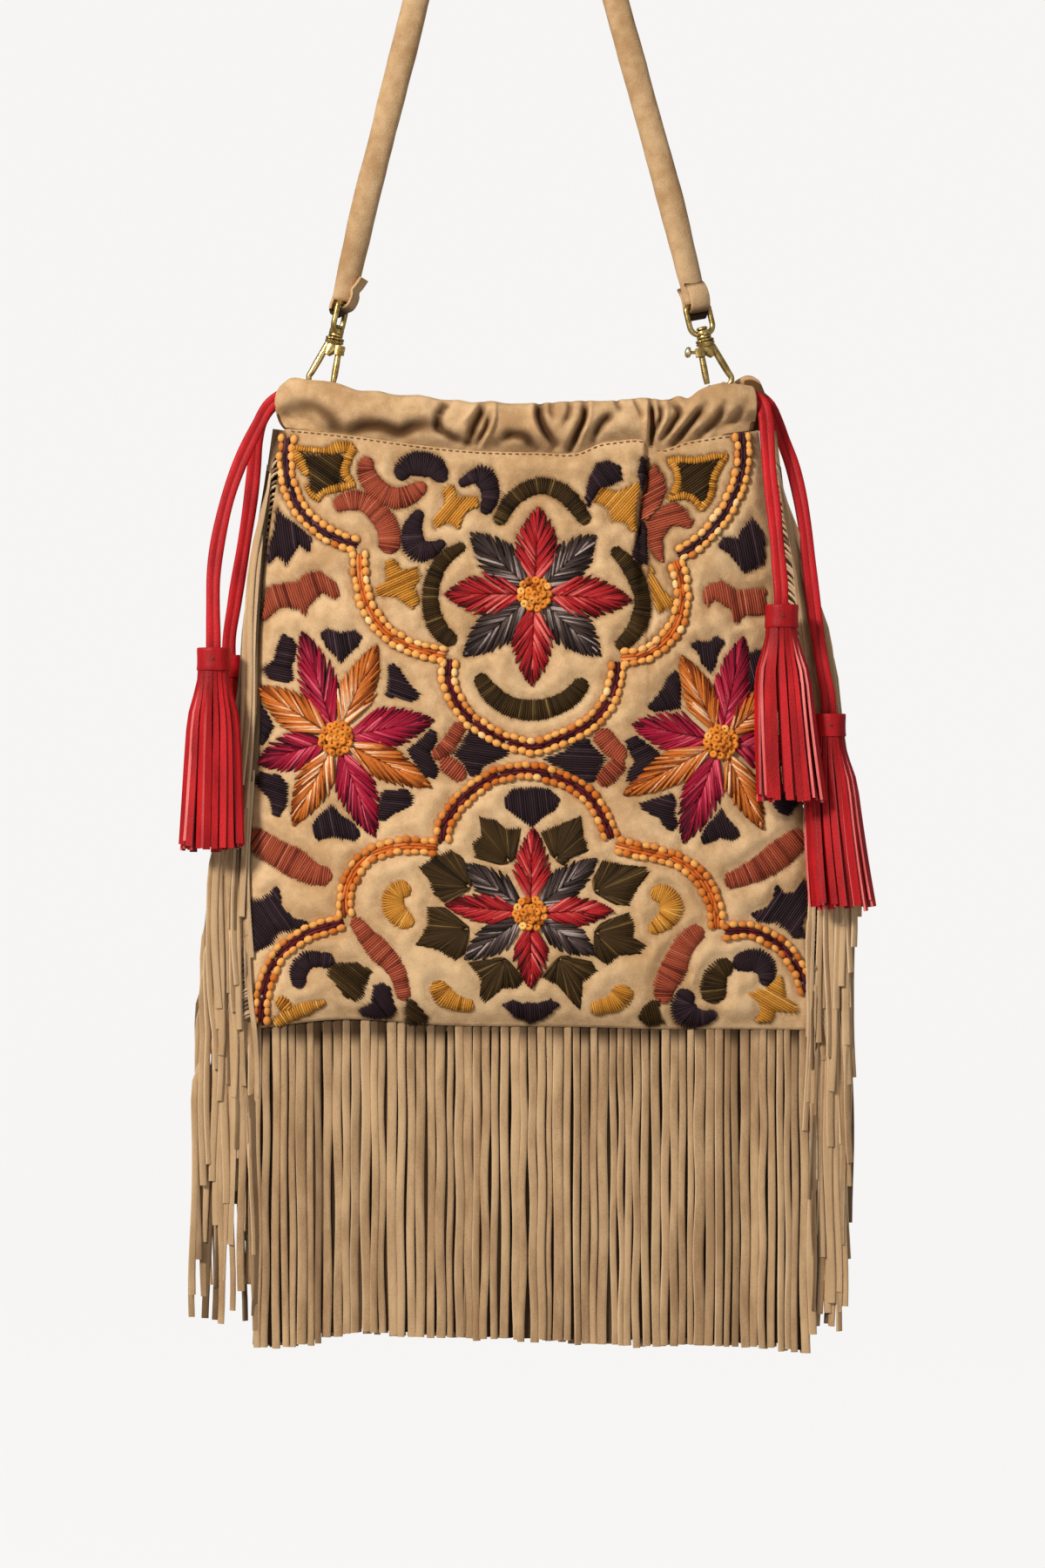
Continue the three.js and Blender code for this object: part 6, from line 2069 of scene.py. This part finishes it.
@dataclass
class Clip:
    """A brass swivel clip: ring, hook and sprung gate; sizes in millimetres."""

    pose: ClipPose
    ring_wire: float = 1.65
    hook_wire: Profile = Profile((0, 0.45, 0.6, 1), (2.0, 1.95, 1.6, 1.5))
    bridge_wide: Profile = Profile((0, 0.6, 1), (4.3, 3.6, 2.0))
    bridge_deep: float = 3.0
    gate_wire: Profile = Profile((0, 0.1, 0.9, 1), (1.7, 1.75, 1.75, 1.6))
    ribs: float = 0.035
    ear_y: float = 2.6
    pin_x: float = -4.6
    pin_z: float = -4.4
    pin_reach: float = 3.3
    pin_radius: float = 0.9
    eye_reach: float = 1.7
    eye_radius: float = 2.1
    stem_radius: float = 0.95

    def build(self) -> None:
        """Makes the three pieces."""
        self.ring()
        self.hook()
        self.gate()

    def hooked(self, rings: Array) -> Array:
        """Places rings of the hook or the gate."""
        return self.pose.put(rings, self.pose.hook_turn)

    def wire(self, points: Sequence[Sequence[float]], sizes: Array, sides: int, deep: float = 1) -> Array:
        """Gives the rings of a bent wire of the hook or the gate, by its half widths along the line."""
        sizes = sizes.reshape(len(sizes), 1, -1)
        return self.hooked(sweep(np.asarray(points, float), oval(sides, 1, deep) * sizes, TOWARDS_BACK))

    def cross_pin(self, reach: float, radius: float, sides: int) -> Array:
        """Gives the rings of a round bar along the gate's hinge."""
        line = np.array([[self.pin_x, y, self.pin_z] for y in (-reach, 0, reach)])
        return self.hooked(sweep(line, oval(sides, radius, radius), UPWARD))

    def ring(self) -> None:
        """Makes the eye's wire frame on its drilled boss."""
        corners = []
        for x, z, radius, start in RING_CORNERS:
            turn = np.radians(start + np.linspace(0, 90, 8))
            corners.append(np.stack([x + radius * np.cos(turn), np.zeros(8), z + radius * np.sin(turn)], axis=1))
        section = oval(14, self.ring_wire, self.ring_wire)
        rings = closed_sweep(np.concatenate(corners), section, TOWARDS_BACK)
        draft = Draft()
        draft.tubes(self.pose.put(rings, self.pose.ring_turn), looped=True)
        draft.tubes(self.pose.put(lathe(BOSS_PROFILE, 28), self.pose.ring_turn), np.array([BOSS_TONE]))
        piece = draft.piece(f"ring_{self.pose.side}_brass", [BRASS], "brass", sharp=50)
        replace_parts(piece, f"ring_{self.pose.side}")

    def hook(self) -> None:
        """Makes the swivel barrel, the bent hook and the hinge ears."""
        draft = Draft()
        barrel = lathe(BARREL_PROFILE, 40)
        ribs = 1 + self.ribs * np.where(np.arange(40) % 4 < 2, 1, -1)
        barrel[BARREL_RIBBED, :, :2] *= ribs[None, :, None]
        draft.tubes(self.hooked(barrel), np.array([BARREL_TONE]))
        draft.tubes(self.wire(smooth_line(HOOK_LINE, 48), self.hook_wire(np.linspace(0, 1, 48)), 14, 1.05))
        wide = self.bridge_wide(np.linspace(0, 1, 12))
        block = np.stack([wide, np.full(12, self.bridge_deep)], axis=1)
        draft.tubes(self.wire(smooth_line(BRIDGE_LINE, 12), block, 14))
        for face in (-1, 1):
            ear = smooth_line(EAR_LINE, 8) + np.array([0, face * self.ear_y, 0])
            draft.tubes(self.hooked(sweep(ear, oval(12, 2.7, 0.5), TOWARDS_BACK)), -0.25)
        draft.tubes(self.cross_pin(self.pin_reach, self.pin_radius, 12))
        piece = draft.piece(f"hook_{self.pose.side}_brass", [BRASS], "brass", sharp=50)
        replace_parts(piece, f"hook_{self.pose.side}")

    def gate(self) -> None:
        """Makes the sprung lever, with its thumb stud where it shows one."""
        draft = Draft()
        draft.tubes(self.cross_pin(self.eye_reach, self.eye_radius, 18))
        draft.tubes(self.wire(smooth_line(GATE_LINE, 14), self.gate_wire(np.linspace(0, 1, 14)), 12))
        if self.pose.stud:
            draft.tubes(self.wire(smooth_line(STEM_LINE, 6), np.full(6, self.stem_radius), 10))
            # The thumb stud is in pale brass, a painted highlight.
            draft.tubes(self.wire(KNOB_LINE, np.array(KNOB_RADII), 16), slots=(1,), cap_slot=1)
        body = f"gate_{self.pose.side}"
        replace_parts(draft.piece(f"{body}_brass", [BRASS, HIGHLIGHT_BRASS], "brass", body, sharp=50), body)


TAB_SECTION = ((-0.6, -1), (-1, -0.9), (-1, 0.9), (-0.6, 1), (0.6, 1), (1, 0.9), (1, -0.9), (0.6, -1))
TAB_ROLL = ((-5.7, 30.6), (-6.3, 27.4), (-5.8, 23.6), (-4.2, 20.4), (-1.4, 18.6))
TAB_UNDER = ((-1.4, 18.6), (0.8, 16.8), (3.2, 15.2), (4.7, 17.4))
TAB_BACK = ((4.7, 17.4), (4.8, 22.5), (4.5, 28))
TAB_BACK_TOP = 34
MOUTH_TAB_LEGS = ((4.4, -3.4, -42.5), (4.4, -3.0, -36))


@dataclass
class Strap:
    """The rolled shoulder strap with its folded end tabs and the tabs in the mouth."""

    half_wide: float = 7.5 * MM
    half_deep: float = 5.3 * MM
    end_wide: float = 6.9 * MM
    end_deep: float = 3.9 * MM
    taper: float = 0.024
    untwist: float = 0.07
    end_heights: tuple[float, float] = (23.4, 60)
    left_leg: Spots = ((-56, -180.5), (-17.8, -16))
    right_leg: Spots = ((17.8, -16), (58.5, -180.5))
    bend: float = 16
    apex: float = 7.2
    seam_at: float = 0.5
    seam_width: float = 0.13
    seam_depth: float = 0.12
    lump: float = 0.45 * MM
    lump_size: float = 30 * MM
    dimple: float = 0.2 * MM
    dimple_size: float = 9 * MM
    tab_thick: float = 0.95
    tab_half: float = 6.1
    mouth_tab_bend: float = 2.3
    mouth_tab_height: float = -27

    def route(self) -> Array:
        """Gives the strap's middle line from clip to clip.

        Returns:
            Points in metres.
        """
        heights = np.array([[0, 0, z] for z in self.end_heights])
        left, right = (pose.put(heights, 0) / MM for pose in CLIPS)
        turn = np.radians(np.linspace(-65, 65, 5))
        arc = np.stack([self.bend * np.sin(turn), self.apex - self.bend + self.bend * np.cos(turn)], axis=1)
        loop = np.concatenate([self.left_leg, arc, self.right_leg])
        return np.concatenate([left, np.insert(loop, 1, 0, axis=1), right[::-1]]) * MM

    def build(self) -> None:
        """Makes the strap, its end tabs and the mouth tabs."""
        line = smooth_line(self.route(), 320)
        length = line_length(line)
        at = np.linspace(0, length, len(line))
        swell = ease(np.minimum(at, length - at), 0, self.taper)
        left, right = (np.radians(pose.strap_turn) for pose in CLIPS)
        turn = left * (1 - ease(at, self.taper, self.untwist))
        turn = turn - right * (1 - ease(length - at, self.taper, self.untwist))
        wide = self.end_wide + (self.half_wide - self.end_wide) * swell
        deep = self.end_deep + (self.half_deep - self.end_deep) * swell
        ahead = np.array(TOWARDS_BACK, float)
        side = np.cross(unit(np.gradient(line, axis=0)), ahead)
        guide = ahead * np.cos(turn)[:, None] + side * np.sin(turn)[:, None]
        circle = oval(28, 1, 1)
        around = np.arctan2(circle[:, 1], circle[:, 0])
        seam = np.exp(-((around - self.seam_at) / self.seam_width) ** 2)
        section = circle * (1 - self.seam_depth * seam)[:, None]
        rings = sweep(line, section * np.stack([wide, deep], axis=1)[:, None], guide)
        bump = self.lump * ripple(rings, self.lump_size, 4.4) + self.dimple * ripple(rings, self.dimple_size, 6.1)
        rings = rings + unit(rings - line[:, None]) * (bump * swell[:, None])[..., None]
        draft = Draft()
        draft.tubes(rings, np.broadcast_to(-0.3 - 0.6 * seam, rings.shape[:2])[None])
        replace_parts(draft.piece("strap_leather", [SUEDE], "suede"), "strap")
        for pose in CLIPS:
            self.end_tab(pose)
            self.mouth_tab(pose)

    def end_tab(self, pose: ClipPose) -> None:
        """Makes the tab that folds through a clip's ring.

        Args:
            pose: The clip.
        """
        tab = pose.tab
        share = np.linspace(0, 1, 36)
        # Painted shade: the strip under the roll is in shaded suede, the right tab's leaf is painted dark where it
        # tucks in, and each line grows darker towards its end.
        tone = -0.2 - 0.6 * ease(share, 0.7, 1) - tab.leaf_shade * (1 - ease(share, 0.1, 0.3))
        draft = Draft()
        for slot, points, last in (
            (0, (*tab.leaf, *TAB_ROLL), self.tab_half),
            (1, TAB_UNDER, self.tab_half),
            (0, (*TAB_BACK, (tab.back_top, TAB_BACK_TOP)), tab.back_half),
        ):
            line = smooth_line([(0, y, z) for y, z in points], 36)
            half = self.tab_half + (last - self.tab_half) * ease(share, 0.1, 0.7)
            sizes = np.stack([np.full(36, self.tab_thick), half], axis=1)[:, None]
            rings = sweep(line, np.array(TAB_SECTION) * sizes, (1, 0, 0))
            draft.tubes(pose.put(rings, pose.ring_turn), tone[None], (slot,), slot)
        piece = draft.piece(f"strap_loop_{pose.side}_leather", [SUEDE, SHADED_SUEDE], "suede", sharp=50)
        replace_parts(piece, f"strap_loop_{pose.side}")

    def mouth_tab(self, pose: ClipPose) -> None:
        """Makes the tab inside the mouth that a hook carries.

        Args:
            pose: The clip.
        """
        legs = np.array(MOUTH_TAB_LEGS)
        turn = np.linspace(0, np.pi, 9)
        rise = self.mouth_tab_height + self.mouth_tab_bend * np.sin(turn)
        arch = np.stack([np.full(9, legs[0, 0]), -self.mouth_tab_bend * np.cos(turn), rise], axis=1)
        line = smooth_line(np.concatenate([legs, arch, (legs * np.array([1, -1, 1]))[::-1]]), 40)
        draft = Draft()
        draft.tubes(pose.put(sweep(line, oval(10, 0.75, 1.6), (1, 0, 0)), pose.hook_turn), -0.3)
        piece = draft.piece(f"hook_tab_{pose.side}_leather", [SUEDE], "suede")
        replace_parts(piece, f"hook_tab_{pose.side}")


@dataclass
class Seams:
    """The visible stitch line of the leather below the casing."""

    step: float = 3.7 * MM
    dash: float = 2.3 * MM
    height: float = 0.9965
    stretches: Spots = ((-0.96, 0.5), (0.545, 0.95))
    half_wide: float = 0.42 * MM
    half_deep: float = 0.35 * MM

    def build(self) -> None:
        """Sews the row, in two stretches either side of the fold."""
        draft = Draft()
        for low, high in self.stretches:
            u = np.linspace(low, high, 200)
            self.row(draft, np.stack(WALL.spot(u, np.full_like(u, self.height)), axis=1))
        draft.piece("seam_stitches", [SEAM_THREAD], "suede")

    def row(self, draft: Draft, line: Array) -> None:
        """Adds one row of dashes on the front wall.

        Args:
            draft: Mesh that takes them.
            line: X and Z along the row.
        """
        middle = smooth_line(line, int(line_length(line) / self.step))
        heading = unit(np.gradient(middle, axis=0))
        share = np.array([-0.5, -0.3, 0, 0.3, 0.5])
        flat = middle[:, None] + heading[:, None] * (share * self.dash)[:, None]
        y = WALL.front(flat[..., 0], flat[..., 1]) - np.array([-0.3, 0.25, 0.45, 0.25, -0.3]) * MM
        points = np.stack([flat[..., 0], y, flat[..., 1]], axis=-1)
        draft.tubes(sweep(points, oval(6, self.half_wide, self.half_deep), TOWARDS_FRONT), -0.2)


@dataclass
class Studio:
    """The camera, the lights and the pale sweep."""

    distance: float = 2.125
    centre: tuple[float, float] = (0.005, -0.6305)
    lens: float = 85
    sensor: float = 36
    aim: Triple = (0, 0, -0.6)
    warm: Colour = (1, 0.97, 0.92, 1)
    cool: Colour = (0.94, 0.97, 1, 1)
    sky: float = 0.33
    paper: Paper = Paper("paper", linear(86, 85, 84), 0.88)
    floor: float = -1.35
    floor_reach: float = 3.4
    floor_bend: float = 2.6
    wall_top: float = 5.5

    def camera(self) -> None:
        """Sets the camera square to the front."""
        data = bpy.data.cameras.new("camera")
        data.lens = self.lens
        data.sensor_width = self.sensor
        camera = bpy.data.objects.new("camera", data)
        camera.location = (self.centre[0], -self.distance, self.centre[1])
        camera.rotation_euler = (math.pi / 2, 0, 0)
        bpy.context.scene.collection.objects.link(camera)
        bpy.context.scene.camera = camera

    def lamp(self, name: str, at: Triple, size: float, power: float, colour: Colour) -> None:
        """Adds a soft square light that points at the bag.

        Args:
            name: Name of the light.
            at: Where it stands.
            size: Length of its side in metres.
            power: Power in watts.
            colour: Colour of its light.
        """
        data = bpy.data.lights.new(name, "AREA")
        data.size = size
        data.energy = power
        data.color = colour[:3]
        light = bpy.data.objects.new(name, data)
        light.location = at
        light.visible_camera = False
        light.rotation_euler = (Vector(self.aim) - Vector(at)).to_track_quat("-Z", "Y").to_euler()
        bpy.context.scene.collection.objects.link(light)

    def build(self) -> None:
        """Sets the lights, the world and the sweep."""
        self.lamp("key", (-1.8, -2.35, 0.85), 0.6, 108, self.warm)
        self.lamp("fill", (1.3, -2.1, -1.2), 1.6, 8, self.cool)
        world = bpy.data.worlds.new("studio")
        world.use_nodes = True
        background = world.node_tree.nodes["Background"]
        background.inputs["Color"].default_value = (1, 1, 1, 1)
        background.inputs["Strength"].default_value = self.sky
        bpy.context.scene.world = world
        bpy.context.scene.view_settings.view_transform = "Standard"
        turn = np.linspace(0, np.pi / 2, 16)
        reach = self.floor_reach + self.floor_bend * np.sin(turn)
        rise = self.floor + self.floor_bend * (1 - np.cos(turn))
        bowl = lathe(((0.0004, self.floor), *zip(reach, rise), (reach[-1], self.wall_top)), 64)
        draft = Draft()
        draft.grid(np.concatenate([bowl, bowl[:, :1]], axis=1))
        sweep_piece = draft.show("studio_sweep", [self.paper])
        sweep_piece.visible_diffuse = False
        sweep_piece.visible_glossy = False


def main() -> None:
    """Builds every sub-assembly in the CAD's frame and reports."""
    logging.basicConfig(level=logging.INFO, format="%(message)s")
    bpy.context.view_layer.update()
    studio = Studio()
    studio.camera()
    for tassel in TASSELS:
        Lace(tassel.name, LACE_ROUTES[tassel.name]).build(tassel.build())
    embroidery = Embroidery()
    pressed = embroidery.sew()
    embroidery.build()
    Panel("front_panel_leather", Side.FRONT, columns=190, rows=190, pressed=pressed).build()
    Panel("back_panel_leather", Side.BACK, columns=110, rows=110).build()
    Casing("front_casing_leather", Side.FRONT, right=0.139, creases=FRONT_CREASES, top=FRONT_TOP).build()
    Casing("back_casing_leather", Side.BACK, right=0.1455, creases=BACK_CREASES, top=BACK_TOP).build()
    Seams().build()
    BottomFringe().build()
    SideFringe("left_fringe", -1, LEFT_NEAR, LEFT_FAR, hem=2.6 * MM).build()
    SideFringe("right_fringe", 1, RIGHT_NEAR, RIGHT_FAR, hem=6 * MM).build()
    Strap().build()
    for pose in CLIPS:
        Clip(pose).build()
    for name in ("front_lace_run", "back_lace_run"):
        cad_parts[name].material_slots[0].material = RED_LEATHER.material()
    studio.build()


if __name__ == "__main__":
    main()
